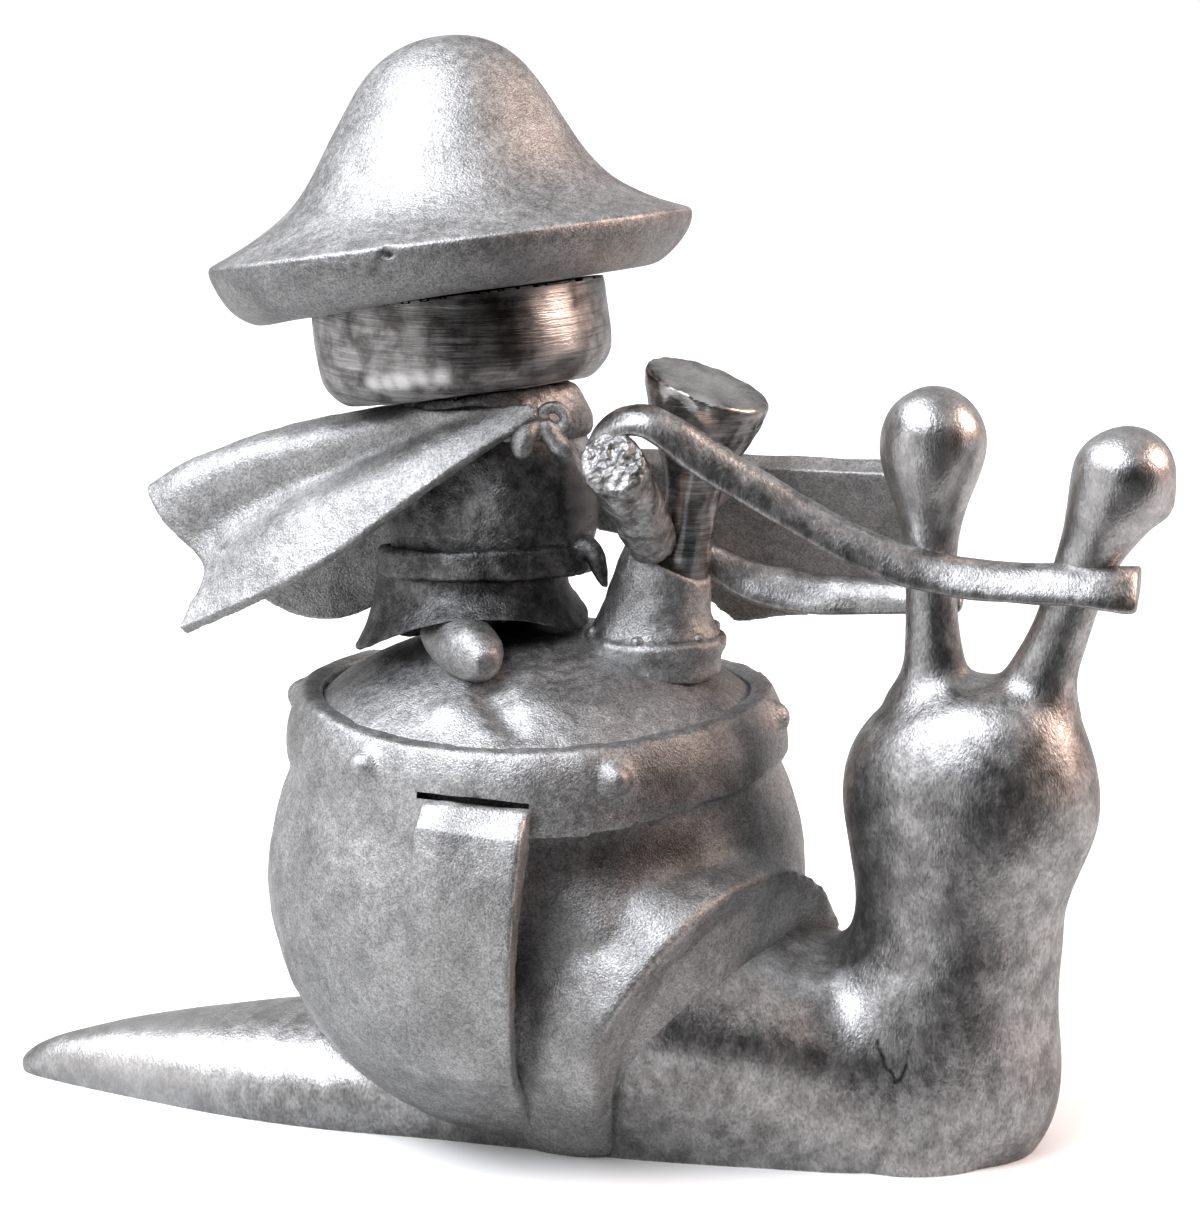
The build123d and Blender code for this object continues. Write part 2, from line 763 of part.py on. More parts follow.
# Boots astride the dome
with BuildPart() as boot_right:
    heel = Vector(boot_heel[0], -boot_heel[1], boot_heel[2])
    toe = Vector(boot_toe[0], -boot_toe[1], boot_toe[2])
    with BuildSketch(Plane(origin=heel, z_dir=toe - heel)):
        Circle(boot_radius * 0.9)
    with BuildSketch(Plane(origin=heel + (toe - heel) * 0.6, z_dir=toe - heel)):
        Circle(boot_radius * 1.1)
    with BuildSketch(Plane(origin=toe, z_dir=toe - heel)):
        Circle(boot_toe_radius)
    loft()
    add(rider_skirt.part, mode=Mode.SUBTRACT)
    add(rider_belt.part, mode=Mode.SUBTRACT)
    add(cap_form.part, mode=Mode.SUBTRACT)
boot_right.part.label = "boot_right"

with BuildPart() as boot_left:
    heel = Vector(boot_heel[0], boot_heel[1], boot_heel[2])
    toe = Vector(boot_toe[0], boot_toe[1], boot_toe[2])
    with BuildSketch(Plane(origin=heel, z_dir=toe - heel)):
        Circle(boot_radius * 0.9)
    with BuildSketch(Plane(origin=heel + (toe - heel) * 0.6, z_dir=toe - heel)):
        Circle(boot_radius * 1.1)
    with BuildSketch(Plane(origin=toe, z_dir=toe - heel)):
        Circle(boot_toe_radius)
    loft()
    add(rider_skirt.part, mode=Mode.SUBTRACT)
    add(rider_belt.part, mode=Mode.SUBTRACT)
    add(cap_form.part, mode=Mode.SUBTRACT)
boot_left.part.label = "boot_left"

# Cape: an arched sheet that streams back from the shoulders
with BuildPart() as cape_form:
    for place, near, near_side, ridge, far_side, far in cape_sections:
        with BuildSketch(Plane(origin=(place, 0, hip_height), x_dir=(0, 1, 0), z_dir=(1, 0, 0))):
            with BuildLine():
                Spline(near, near_side, ridge, far_side, far)
                Line(far, (far[0] - cape_thickness, far[1]))
                Spline(
                    (far[0] - cape_thickness, far[1]),
                    (far_side[0] - cape_thickness * 0.8, far_side[1] - cape_thickness * 0.5),
                    (ridge[0], ridge[1] - cape_thickness),
                    (near_side[0] + cape_thickness * 0.8, near_side[1] - cape_thickness * 0.5),
                    (near[0] + cape_thickness, near[1]),
                )
                Line((near[0] + cape_thickness, near[1]), near)
            make_face()
    loft()
    with BuildSketch(Plane(origin=(0, 0, hip_height), x_dir=(1, 0, 0), z_dir=(0, -1, 0))):
        with BuildLine():
            Polyline(*cape_trim_outline, close=True)
        make_face()
    extrude(amount=cut_reach, both=True, mode=Mode.SUBTRACT)
    add(rider_torso.part, mode=Mode.SUBTRACT)
    add(neck_pin.part, mode=Mode.SUBTRACT)
    add(scarf_ring.part, mode=Mode.SUBTRACT)
    add(rider_belt.part, mode=Mode.SUBTRACT)

with BuildPart() as rider_cape:
    add(cape_form.part.solids().sort_by(SortBy.VOLUME)[-1])
rider_cape.part.label = "rider_cape"

# Column: flange, socket, horn post and stub peg
with BuildPart() as column_flange:
    with Locations((flange_place, 0, flange_bottom)):
        Cylinder(
            flange_radius, flange_top - flange_bottom, align=(Align.CENTER, Align.CENTER, Align.MIN)
        )
    add(cap_form.part, mode=Mode.SUBTRACT)
    add(flange_rivets.part, mode=Mode.SUBTRACT)
    add(rider_skirt.part, mode=Mode.SUBTRACT)
column_flange.part.label = "column_flange"

post_plane = Plane(
    origin=post_foot,
    x_dir=(cos(radians(post_lean)), 0, -sin(radians(post_lean))),
    z_dir=(sin(radians(post_lean)), 0, cos(radians(post_lean))),
)
post_section = Plane(origin=post_foot, x_dir=post_plane.x_dir, z_dir=-post_plane.y_dir)
post_top = post_plane.origin + post_plane.z_dir * post_flare_length
post_blank_top = post_flare_length + post_blank_rise
with BuildPart() as horn_post:
    with BuildSketch(post_section):
        with BuildLine():
            Polyline((0, post_blank_top), (0, 0), (post_radius, 0), (post_radius, post_waist_length))
            Spline(
                (post_radius, post_waist_length),
                (post_radius + 0.5, post_waist_length + 2.6),
                (post_top_radius - 0.5, post_flare_length - 1.2),
                (post_top_radius + post_blank_flare, post_blank_top),
                tangents=((0, 1), (0.6, 1)),
            )
            Line((post_top_radius + post_blank_flare, post_blank_top), (0, post_blank_top))
        make_face()
    revolve(axis=Axis(post_plane.origin, post_plane.z_dir))
    split(
        bisect_by=Plane(
            origin=post_top, z_dir=(0, -sin(radians(post_top_tilt)), cos(radians(post_top_tilt)))
        ),
        keep=Keep.BOTTOM,
    )
horn_post.part.label = "horn_post"

rim_normal = (sin(radians(socket_rim_lean)), 0, cos(radians(socket_rim_lean)))
with BuildPart() as column_socket:
    with BuildSketch(Plane.XY.offset(flange_top)):
        with Locations((flange_place, 0)):
            Circle(socket_foot_radius)
    with BuildSketch(Plane.XY.offset(socket_rim_height + socket_blank_rise)):
        with Locations((socket_rim_place + socket_blank_shift, 0)):
            Circle(socket_rim_radius - socket_blank_taper)
    loft()
    split(
        bisect_by=Plane(origin=(socket_rim_place, 0, socket_rim_height), z_dir=rim_normal),
        keep=Keep.BOTTOM,
    )
    add(horn_post.part, mode=Mode.SUBTRACT)
    add(flange_rivets.part, mode=Mode.SUBTRACT)
column_socket.part.label = "column_socket"

with BuildPart() as rein_peg:
    root = Vector(*peg_root)
    end = Vector(*peg_end)
    with BuildSketch(Plane(origin=root, z_dir=end - root)):
        Circle(peg_radius)
    extrude(amount=(end - root).length)
    add(horn_post.part, mode=Mode.SUBTRACT)
    add(column_socket.part, mode=Mode.SUBTRACT)
rein_peg.part.label = "rein_peg"

# Reins: rigid bars from the column to the eye stalks
rein_plane = Plane(origin=(0, 0, socket_rim_height), x_dir=(1, 0, 0), z_dir=(0, -1, 0))
with BuildPart() as rein_right:
    with BuildSketch(rein_plane):
        with BuildLine():
            Spline(*near_rein_upper)
            Line(near_rein_upper[-1], near_rein_lower[0])
            Spline(*near_rein_lower)
            Line(near_rein_lower[-1], near_rein_upper[0])
        make_face()
    extrude(amount=cut_reach, both=True)
    with BuildSketch(Plane.XY):
        with BuildLine():
            Spline(*near_rein_outer)
            Line(near_rein_outer[-1], near_rein_inner[0])
            Spline(*near_rein_inner)
            Line(near_rein_inner[-1], near_rein_outer[0])
        make_face()
    extrude(amount=trim_block, mode=Mode.INTERSECT)
    add(rein_peg.part, mode=Mode.SUBTRACT)
    add(horn_post.part, mode=Mode.SUBTRACT)
    add(eye_stalk_rear.part, mode=Mode.SUBTRACT)
    add(eye_stalk_front.part, mode=Mode.SUBTRACT)
rein_right.part.label = "rein_right"

with BuildPart() as rein_left:
    with BuildSketch(rein_plane):
        with BuildLine():
            Spline(*far_rein_upper)
            Line(far_rein_upper[-1], far_rein_lower[0])
            Spline(*far_rein_lower)
            Line(far_rein_lower[-1], far_rein_upper[0])
        make_face()
    extrude(amount=cut_reach, both=True)
    with BuildSketch(Plane.XY):
        with BuildLine():
            Spline(*far_rein_outer)
            Line(far_rein_outer[-1], far_rein_inner[0])
            Spline(*far_rein_inner)
            Line(far_rein_inner[-1], far_rein_outer[0])
        make_face()
    extrude(amount=trim_block, mode=Mode.INTERSECT)
    add(horn_post.part, mode=Mode.SUBTRACT)
    add(column_socket.part, mode=Mode.SUBTRACT)
    add(eye_stalk_rear.part, mode=Mode.SUBTRACT)
rein_left.part.label = "rein_left"

# Side board behind the column, and the peg that holds it
board_plane = Plane(
    origin=(0, board_place, board_middle_height),
    x_dir=(1, 0, 0),
    z_dir=(0, -cos(radians(board_lean)), -sin(radians(board_lean))),
)
with BuildPart() as side_board:
    with BuildSketch(board_plane):
        with BuildLine():
            Polyline(*board_outline, close=True)
        make_face()
    extrude(amount=-board_thickness)
side_board.part.label = "side_board"

with BuildPart() as board_peg:
    with BuildSketch(Plane.XZ):
        with Locations((post_foot[0] + 1.0, board_peg_height)):
            Circle(board_peg_radius)
    extrude(amount=-board_place)
    add(horn_post.part, mode=Mode.SUBTRACT)
    add(side_board.part, mode=Mode.SUBTRACT)
board_peg.part.label = "board_peg"

export_step(snail_body.part, "parts/snail_body.step")
export_step(eye_stalk_rear.part, "parts/eye_stalk_rear.step")
export_step(eye_stalk_front.part, "parts/eye_stalk_front.step")
export_step(base_screws.part, "parts/base_screws.step")
export_step(shell_pot.part, "parts/shell_pot.step")
export_step(shell_cap.part, "parts/shell_cap.step")
export_step(shell_band.part, "parts/shell_band.step")
export_step(band_rivets.part, "parts/band_rivets.step")
export_step(shell_hood.part, "parts/shell_hood.step")
export_step(girth_strap_right.part, "parts/girth_strap_right.step")
export_step(girth_strap_left.part, "parts/girth_strap_left.step")
export_step(rider_stud.part, "parts/rider_stud.step")
export_step(rider_nut.part, "parts/rider_nut.step")
export_step(rider_skirt.part, "parts/rider_skirt.step")
export_step(rider_belt.part, "parts/rider_belt.step")
export_step(rider_torso.part, "parts/rider_torso.step")
export_step(scarf_ring.part, "parts/scarf_ring.step")
export_step(rider_cape.part, "parts/rider_cape.step")
export_step(boot_right.part, "parts/boot_right.step")
export_step(boot_left.part, "parts/boot_left.step")
export_step(neck_pin.part, "parts/neck_pin.step")
export_step(hat_pin.part, "parts/hat_pin.step")
export_step(rider_head.part, "parts/rider_head.step")
export_step(rider_hat.part, "parts/rider_hat.step")
export_step(column_flange.part, "parts/column_flange.step")
export_step(flange_rivets.part, "parts/flange_rivets.step")
export_step(column_socket.part, "parts/column_socket.step")
export_step(horn_post.part, "parts/horn_post.step")
export_step(rein_peg.part, "parts/rein_peg.step")
export_step(rein_right.part, "parts/rein_right.step")
export_step(rein_left.part, "parts/rein_left.step")
export_step(side_board.part, "parts/side_board.step")
export_step(board_peg.part, "parts/board_peg.step")
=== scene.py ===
# %% [markdown]
# # A cast aluminium snail with its rider
# A palm-size figurine: a snail with a round banded shell, a rider in a cape and a wide hat, a horn post and
# two reins. It is raw aluminium, cast in sand, with a few places filed bright. The solids give every place
# and size. Here each of them gets the soft edges, folds and grain of a casting.

# %% Load the frame
import functools
import json
import math

import bmesh
import bpy
from mathutils import Matrix, Vector


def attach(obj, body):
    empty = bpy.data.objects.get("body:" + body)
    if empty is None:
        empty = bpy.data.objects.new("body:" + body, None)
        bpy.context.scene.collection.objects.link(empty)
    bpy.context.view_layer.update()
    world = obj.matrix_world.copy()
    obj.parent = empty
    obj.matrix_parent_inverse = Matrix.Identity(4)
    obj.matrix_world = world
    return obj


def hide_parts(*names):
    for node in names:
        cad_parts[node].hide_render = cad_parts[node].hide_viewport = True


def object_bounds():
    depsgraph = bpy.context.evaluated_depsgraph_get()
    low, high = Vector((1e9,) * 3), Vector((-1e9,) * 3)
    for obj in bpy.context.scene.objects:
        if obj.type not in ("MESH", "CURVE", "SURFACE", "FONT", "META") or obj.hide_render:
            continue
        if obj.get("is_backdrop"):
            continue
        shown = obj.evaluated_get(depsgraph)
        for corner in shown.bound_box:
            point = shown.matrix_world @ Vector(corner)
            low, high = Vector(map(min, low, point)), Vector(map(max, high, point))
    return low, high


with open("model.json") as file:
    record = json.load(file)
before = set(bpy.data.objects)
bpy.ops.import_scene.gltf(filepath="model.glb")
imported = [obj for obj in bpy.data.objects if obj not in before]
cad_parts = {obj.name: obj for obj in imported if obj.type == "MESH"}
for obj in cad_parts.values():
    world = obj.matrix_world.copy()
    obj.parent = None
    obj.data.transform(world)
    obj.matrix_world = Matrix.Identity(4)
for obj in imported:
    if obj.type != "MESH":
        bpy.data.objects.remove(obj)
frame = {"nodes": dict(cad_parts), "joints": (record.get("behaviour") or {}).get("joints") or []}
cad_low, cad_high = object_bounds()
MM = 0.001

# %% [markdown]
# ## Camera
# The photo was taken from the snail's right, a little ahead of it and above it, with a long lens. A point in
# the middle of the figurine and a distance in mm place the camera. The lens follows from how many pixels of
# the picture one millimetre of the figurine fills.

# %% Camera
view_turn, view_rise = math.radians(14), math.radians(12.5)
view_target = Vector((4.31, 0, 34.983)) * MM
view_distance, sensor_width = 340, 36
picture_height, pixels_per_mm = 1212, 15.2
level = math.cos(view_rise)
toward_camera = Vector((math.sin(view_turn) * level, -math.cos(view_turn) * level, math.sin(view_rise)))
picture_right = Vector((math.cos(view_turn), math.sin(view_turn), 0))
picture_up = toward_camera.cross(picture_right)
bpy.ops.object.camera_add(location=view_target + toward_camera * (view_distance * MM))
camera = bpy.context.object
camera.rotation_euler = (-toward_camera).to_track_quat("-Z", "Y").to_euler()
camera.data.sensor_width = sensor_width
camera.data.lens = sensor_width * view_distance * pixels_per_mm / picture_height
camera.data.clip_start, camera.data.clip_end = 0.01, 20
bpy.context.scene.camera = camera
print("lens mm:", round(camera.data.lens, 1))

# %% [markdown]
# ## Colours and nodes
# Colours are picked in sRGB, but shaders reckon in linear light, so one function turns the one into
# the other. Another adds a node, sets it and links it, and it serves every material here.

# %% Colours and nodes
def linear(code):
    """An sRGB hex colour as the linear RGBA that shaders take."""
    parts = [int(code[i : i + 2], 16) / 255 for i in (1, 3, 5)]
    return [c / 12.92 if c <= 0.04045 else ((c + 0.055) / 1.055) ** 2.4 for c in parts] + [1.0]


def add_node(tree, kind, inputs=None, stops=(), **settings):
    """One node with its settings.

    An input is a plain value or another node's output. A stop is a place on a colour ramp and its hex.
    """
    made = tree.nodes.new(kind)
    for name, value in settings.items():
        setattr(made, name, value)
    for number, (place, code) in enumerate(stops):
        element = made.color_ramp.elements[number]
        element.position, element.color = place, linear(code)
    for name, value in (inputs or {}).items():
        if isinstance(value, bpy.types.NodeSocket):
            tree.links.new(value, made.inputs[name])
        else:
            made.inputs[name].default_value = value
    return made


def new_finish(name):
    """An empty material, and its node tree."""
    finish = bpy.data.materials.new(name)
    finish.use_nodes = True
    finish.node_tree.nodes.clear()
    return finish, finish.node_tree


def paper(name, shade):
    """Matt paper in one shade."""
    finish, tree = new_finish(name)
    face = add_node(tree, "ShaderNodeBsdfDiffuse", {"Color": linear(shade)})
    add_node(tree, "ShaderNodeOutputMaterial", {"Surface": face.outputs["BSDF"]})
    return finish


print("mid grey in linear light:", round(linear("#808080")[0], 3))

# %% [markdown]
# ## Studio
# Bare metal has no colour of its own to speak of: it shows the room. A white room lights it evenly, a cool
# lamp on the left and a warm one on the right give the two highlights on each round form, and dark cards
# round the camera give the dark core between them. The cards show only in reflections, so they never cross
# a view.

# %% Studio
def studio_place(right, up, near, distance):
    """A point around the figurine, by picture directions."""
    way = (picture_right * right + picture_up * up + toward_camera * near).normalized()
    return view_target + way * distance


def aim(thing, point):
    """Turn a lamp or a card toward a point."""
    thing.rotation_euler = (point - thing.location).to_track_quat("-Z", "Y").to_euler()


def studio_lamp(name, place, size, power, colour):
    """A soft lamp that faces the figurine. Size: width and height."""
    bpy.ops.object.light_add(type="AREA", location=place)
    lamp = bpy.context.object
    lamp.name = name
    lamp.data.shape = "ELLIPSE"
    lamp.data.size, lamp.data.size_y = size
    lamp.data.energy = power
    lamp.data.color = linear(colour)[:3]
    aim(lamp, view_target)


def reflected_only(card, name, shade):
    """Stage a card that shows only in reflections, in one paper shade."""
    card.name = name
    card.data.materials.append(paper(name, shade))
    for ray in ("camera", "diffuse", "transmission", "volume_scatter", "shadow"):
        setattr(card, "visible_" + ray, False)
    card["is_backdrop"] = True


def studio_card(name, place, size, shade):
    """A paper card that faces the figurine."""
    bpy.ops.mesh.primitive_grid_add(x_subdivisions=2, y_subdivisions=2, size=1, location=place)
    card = bpy.context.object
    card.scale = (*size, 1)
    aim(card, view_target)
    reflected_only(card, name, shade)


floor_width, tent_radius = 8, 0.9
world = bpy.data.worlds.new("white_room")
bpy.context.scene.world = world
world.use_nodes = True
world.node_tree.nodes.clear()
room = add_node(world.node_tree, "ShaderNodeBackground", {"Color": linear("#ffffff"), "Strength": 1.0})
add_node(world.node_tree, "ShaderNodeOutputWorld", {"Surface": room.outputs["Background"]})

bpy.ops.mesh.primitive_grid_add(x_subdivisions=8, y_subdivisions=8, size=floor_width)
floor = bpy.context.object
floor.name = "floor"
floor.data.materials.append(paper("white_paper_floor", "#fcfcfc"))
floor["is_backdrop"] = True

bpy.ops.mesh.primitive_ico_sphere_add(subdivisions=4, radius=tent_radius, location=view_target)
reflected_only(bpy.context.object, "grey_tent", "#a4a4a4")
# Cards that lie on the table: turn from the picture, where they begin, height, size and shade
for name, edge, near, height, size, shade in (
    ("table_card", 0, -0.8, 0.00004, (1.6, 1.6), "#b0b0b0"),
    ("dark_table_card", -14, 0.03, 0.00008, (0.55, 0.50), "#404040"),
):
    turn = view_turn + math.radians(edge)
    ahead = Vector((math.sin(turn), -math.cos(turn), 0)) * (near + size[1] / 2)
    beside = Vector((math.cos(turn), math.sin(turn), 0)) * (size[0] / 2 if edge else 0)
    place = ahead + beside + Vector((view_target.x, 0, height))
    bpy.ops.mesh.primitive_grid_add(
        x_subdivisions=2, y_subdivisions=2, size=1, location=place, rotation=(0, 0, turn)
    )
    bpy.context.object.scale = (*size, 1)
    reflected_only(bpy.context.object, name, shade)
studio_card("front_card", studio_place(0.20, -0.04, 1.0, 0.40), (0.50, 0.46), "#141414")
studio_card("right_card", studio_place(0.78, -0.02, 0.62, 0.46), (0.26, 0.42), "#1c1c1c")
studio_card("left_card", studio_place(-0.92, 0.10, 0.30, 0.50), (0.45, 0.50), "#c4c4c4")
studio_card("warm_card", studio_place(1.0, -0.05, -0.1, 0.60), (0.7, 0.5), "#ab958d")
studio_lamp("overhead_lamp", studio_place(-0.52, 0.77, 0.40, 0.5), (0.75, 0.34), 3.6, "#f4f7ff")
studio_lamp("warm_lamp", studio_place(0.86, 0.48, 0.08, 0.5), (0.26, 0.26), 1.3, "#ffd9c6")
bpy.context.scene.view_settings.view_transform = "Standard"
print("studio:", [thing.name for thing in bpy.data.lights])

# %% [markdown]
# ## Finishes
# All of the metal is one alloy, raw cast aluminium, a neutral light grey. What differs is how its skin was
# made. Sand leaves a grain of about 0.2 mm that breaks each highlight into specks. Smooth sand and a rub
# with abrasive leave a satin skin with cloudy patches. A file leaves fine straight scratches. The metal is
# made darker in the hollows, which Geometry's pointiness finds on a dense mesh. Two attributes that later
# steps put on a piece mark the rest: one where it was rubbed bright and where a highlight is painted, and
# one where dark oxide was left and where shade is painted.

# %% Finishes
# A Mix node has inputs of the same name for each data type, so these are taken by number
float_a, float_b, float_result = 2, 3, 0
colour_a, colour_b, colour_result = 6, 7, 2
hollow_darkening, lump_share, rubbed_roughness = 0.8, 0.8, 0.24


def per_mm(size):
    """Scale of a texture whose detail is so many millimetres."""
    return 1 / (size * MM)


def aluminium(name, greys, roughness, grain, patches, stretch=(1, 1, 1), turn=(0, 0, 0)):
    """Raw aluminium.

    Greys: the darkest and lightest metal. Roughness: lowest and highest. Grain: size, depth and share of its
    specks in the colour. Patches: size of the cloudy patches and their darkest shade. Stretch and turn draw
    the grain out into streaks or scratches. All sizes in mm.
    """
    finish, tree = new_finish(name)
    node = functools.partial(add_node, tree)
    grain_size, grain_depth, speck_share = grain
    patch_size, patch_shade = patches
    place = node("ShaderNodeTexCoord").outputs["Object"]
    mapping = {"Vector": place, "Scale": stretch, "Rotation": [math.radians(t) for t in turn]}
    drawn = node("ShaderNodeMapping", mapping).outputs["Vector"]
    noises = []
    for where, size, detail, rough in (
        (drawn, grain_size, 2.0, 0.55),
        (drawn, grain_size * 4.5, 3.0, 0.55),
        (place, patch_size, 5.0, 0.62),
    ):
        settings = {"Vector": where, "Scale": per_mm(size), "Detail": detail, "Roughness": rough}
        noises.append(node("ShaderNodeTexNoise", settings).outputs["Fac"])
    grit, lumps, clouds = noises
    specks = node("ShaderNodeTexVoronoi", {"Vector": drawn, "Scale": per_mm(grain_size * 0.8)})
    speckle = node("ShaderNodeRGBToBW", {"Color": specks.outputs["Color"]}).outputs["Val"]
    hollows = node("ShaderNodeNewGeometry").outputs["Pointiness"]
    oxide_and_shade_weight = node("ShaderNodeAttribute", attribute_name="stain_and_shade").outputs["Fac"]
    worn_and_highlight = node("ShaderNodeAttribute", attribute_name="worn_and_highlight").outputs["Fac"]
    layers = []
    for share, value, stops in (
        (speck_share, speckle, [(0.15, "#000000"), (0.75, "#ffffff")]),
        (1.0, clouds, [(0.38, patch_shade), (0.58, "#ffffff")]),
        (hollow_darkening, hollows, [(0.38, "#403f3e"), (0.485, "#ffffff")]),
    ):
        shade = node("ShaderNodeValToRGB", {"Fac": value}, stops).outputs["Color"]
        layers.append((share, shade, "MULTIPLY"))
    # The stain mark darkens: dark oxide on a flaw, and painted shade elsewhere. The worn mark brightens:
    # rubbed metal, and painted highlights.
    layers += [(oxide_and_shade_weight, linear("#4a4948"), "MULTIPLY"), (worn_and_highlight, linear("#efeeed"), "MIX")]
    metal = [(0.35, greys[0]), (0.65, greys[1])]
    colour = node("ShaderNodeValToRGB", {"Fac": lumps}, metal).outputs["Color"]
    for share, shade, way in layers:
        pair = {"Factor": share, colour_a: colour, colour_b: shade}
        colour = node("ShaderNodeMix", pair, data_type="RGBA", blend_type=way).outputs[colour_result]
    low, high = roughness
    span = {"Value": lumps, "From Min": 0.3, "From Max": 0.7, "To Min": low, "To Max": high}
    cast = node("ShaderNodeMapRange", span).outputs["Result"]
    gloss = node("ShaderNodeMix", {"Factor": worn_and_highlight, float_a: cast, float_b: rubbed_roughness})
    bump = {"Height": lumps, "Strength": 1.0, "Distance": grain_depth * lump_share * MM}
    coarse = node("ShaderNodeBump", bump).outputs["Normal"]
    bump = {"Height": grit, "Strength": 1.0, "Distance": grain_depth * MM, "Normal": coarse}
    fine = node("ShaderNodeBump", bump).outputs["Normal"]
    skin = {"Base Color": colour, "Metallic": 1.0, "Roughness": gloss.outputs[float_result], "Normal": fine}
    surface = node("ShaderNodeBsdfPrincipled", skin).outputs["BSDF"]
    node("ShaderNodeOutputMaterial", {"Surface": surface})
    return finish


# Sand-cast skin: fine sand tilts the skin every which way, so it looks almost matt, with bright specks
sand_cast = aluminium(
    "sand_cast_aluminium", ("#cacaca", "#e2e2e1"), (0.44, 0.58), (0.14, 0.05, 0.42), (4.0, "#dcdcdc")
)
# The same skin made darker as painted shade, for the rider's torso, belt and skirt in the shade of the hat
# and cape
shaded_cast = aluminium(
    "shaded_cast_aluminium", ("#767676", "#9e9e9d"), (0.42, 0.56), (0.17, 0.07, 0.4), (2.4, "#b0b0b0")
)
# Rubbed skin: the grain is nearly flat and drawn into short upright streaks, with faint cloudy patches
satin_cast = aluminium(
    "satin_cast_aluminium",
    ("#c6c6c6", "#dedddc"),
    (0.32, 0.44),
    (0.16, 0.03, 0.34),
    (1.8, "#cac9c8"),
    stretch=(1, 1, 0.5),
)
# Filed skin: fine scratches round the piece, glossier than the cast skin
filed = aluminium(
    "filed_aluminium",
    ("#a3a2a1", "#d2d0ce"),
    (0.24, 0.38),
    (0.13, 0.028, 0.3),
    (2.0, "#a09e9c"),
    stretch=(0.06, 0.06, 1.6),
    turn=(6, -9, 0),
)
# Freshly broken metal: coarse crystals, bright and rough
broken_cast = aluminium(
    "broken_cast_aluminium", ("#bcbcbc", "#ecebea"), (0.34, 0.52), (0.3, 0.09, 0.35), (1.4, "#b2b1b0")
)
# Plain steel of the hidden pins and screws, darker and smoother than any cast skin
pin_steel = aluminium(
    "turned_steel", ("#8f9194", "#a9abad"), (0.25, 0.32), (0.12, 0.008, 0.1), (4.0, "#d0d0d0")
)
print("finishes:", [m.name for m in (sand_cast, shaded_cast, satin_cast, filed, broken_cast, pin_steel)])

# %% [markdown]
# ## Skins from rings
# Operators act on what is selected, so each step first selects its piece, and a modifier is applied as soon
# as it is set. Round forms are built as by hand: circles are bridged into a skin, closed at both ends and
# rounded with subdivision. A short list of rings is easy to read and to change.

# %% Skins from rings
crease_angle = math.radians(50)


def object_mode():
    """Leave edit mode, if it is on."""
    if bpy.context.object and bpy.context.object.mode != "OBJECT":
        bpy.ops.object.mode_set(mode="OBJECT")


def only(piece):
    """Select one piece and nothing else."""
    object_mode()
    bpy.ops.object.select_all(action="DESELECT")
    piece.select_set(True)
    bpy.context.view_layer.objects.active = piece


def edit(piece, select="SELECT"):
    """Open one piece in edit mode, with all of its points selected or none."""
    only(piece)
    bpy.ops.object.mode_set(mode="EDIT")
    bpy.ops.mesh.select_all(action=select)


def apply_modifier(piece, kind, **settings):
    """Add a modifier, set it and apply it."""
    only(piece)
    made = piece.modifiers.new(kind.lower(), kind)
    for name, value in settings.items():
        setattr(made, name, value)
    bpy.ops.object.modifier_apply(modifier=made.name)


def join(piece, *others):
    """Make other pieces part of this one."""
    only(piece)
    for other in others:
        other.select_set(True)
    bpy.ops.object.join()


def finish_piece(piece, finish, slot, body, *nodes):
    """Smooth shading, finish, and the nodes that this piece stands for."""
    only(piece)
    bpy.ops.object.shade_smooth_by_angle(angle=crease_angle)
    piece.data.materials.clear()
    piece.data.materials.append(finish)
    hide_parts(*nodes)
    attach(piece, body)
    print(piece.name, "faces:", len(piece.data.polygons))


def pick(piece, numbers):
    """Select only these points of a piece that is open in edit mode."""
    bpy.ops.mesh.select_all(action="DESELECT")
    mesh = bmesh.from_edit_mesh(piece.data)
    mesh.verts.ensure_lookup_table()
    for number in numbers:
        mesh.verts[number].select = True
    mesh.select_flush_mode()
    bmesh.update_edit_mesh(piece.data)


def skin_rings(name, rings, sides=32, square=0.0, reshape=None):
    """Circles bridged into a closed skin, then rounded.

    A ring is its centre, its turn about Y in degrees, and its half size across the turn and along Y. Square
    pulls the circles toward squares, and reshape moves each point of a ring, given in mm.
    """
    object_mode()
    bpy.ops.object.add(type="MESH")
    piece = bpy.context.object
    piece.name = piece.data.name = name
    bpy.ops.object.mode_set(mode="EDIT")
    for centre, turn, half, half_y in rings:
        middle = Vector(centre) * MM
        bpy.ops.mesh.primitive_circle_add(
            vertices=sides, radius=half * MM, location=middle, rotation=(0, math.radians(turn), 0)
        )
        bpy.ops.transform.resize(value=(1, half_y / half, 1), orient_type="GLOBAL", center_override=middle)
    mesh = bmesh.from_edit_mesh(piece.data)
    mesh.verts.ensure_lookup_table()
    for number, (centre, turn, half, half_y) in enumerate(rings):
        middle = Vector(centre) * MM
        for vertex in mesh.verts[number * sides : (number + 1) * sides]:
            reach = vertex.co - middle
            sideways = abs(reach.y) / (half_y * MM)
            fill = max(sideways, math.sqrt(max(0.0, 1 - sideways**2)))
            vertex.co = middle + reach * (1 + square * (1 / fill - 1))
            if reshape:
                vertex.co = reshape(vertex.co / MM, number) * MM
    bmesh.update_edit_mesh(piece.data)
    for step in range(len(rings) - 1):
        pick(piece, range(step * sides, (step + 2) * sides))
        bpy.ops.mesh.bridge_edge_loops()
    for end in (0, len(rings) - 1):
        pick(piece, range(end * sides, (end + 1) * sides))
        bpy.ops.mesh.edge_face_add()
        bpy.ops.mesh.poke()
    bpy.ops.mesh.select_all(action="SELECT")
    bpy.ops.mesh.normals_make_consistent()
    apply_modifier(piece, "SUBSURF", levels=2)
    return piece


print("ready to skin rings")
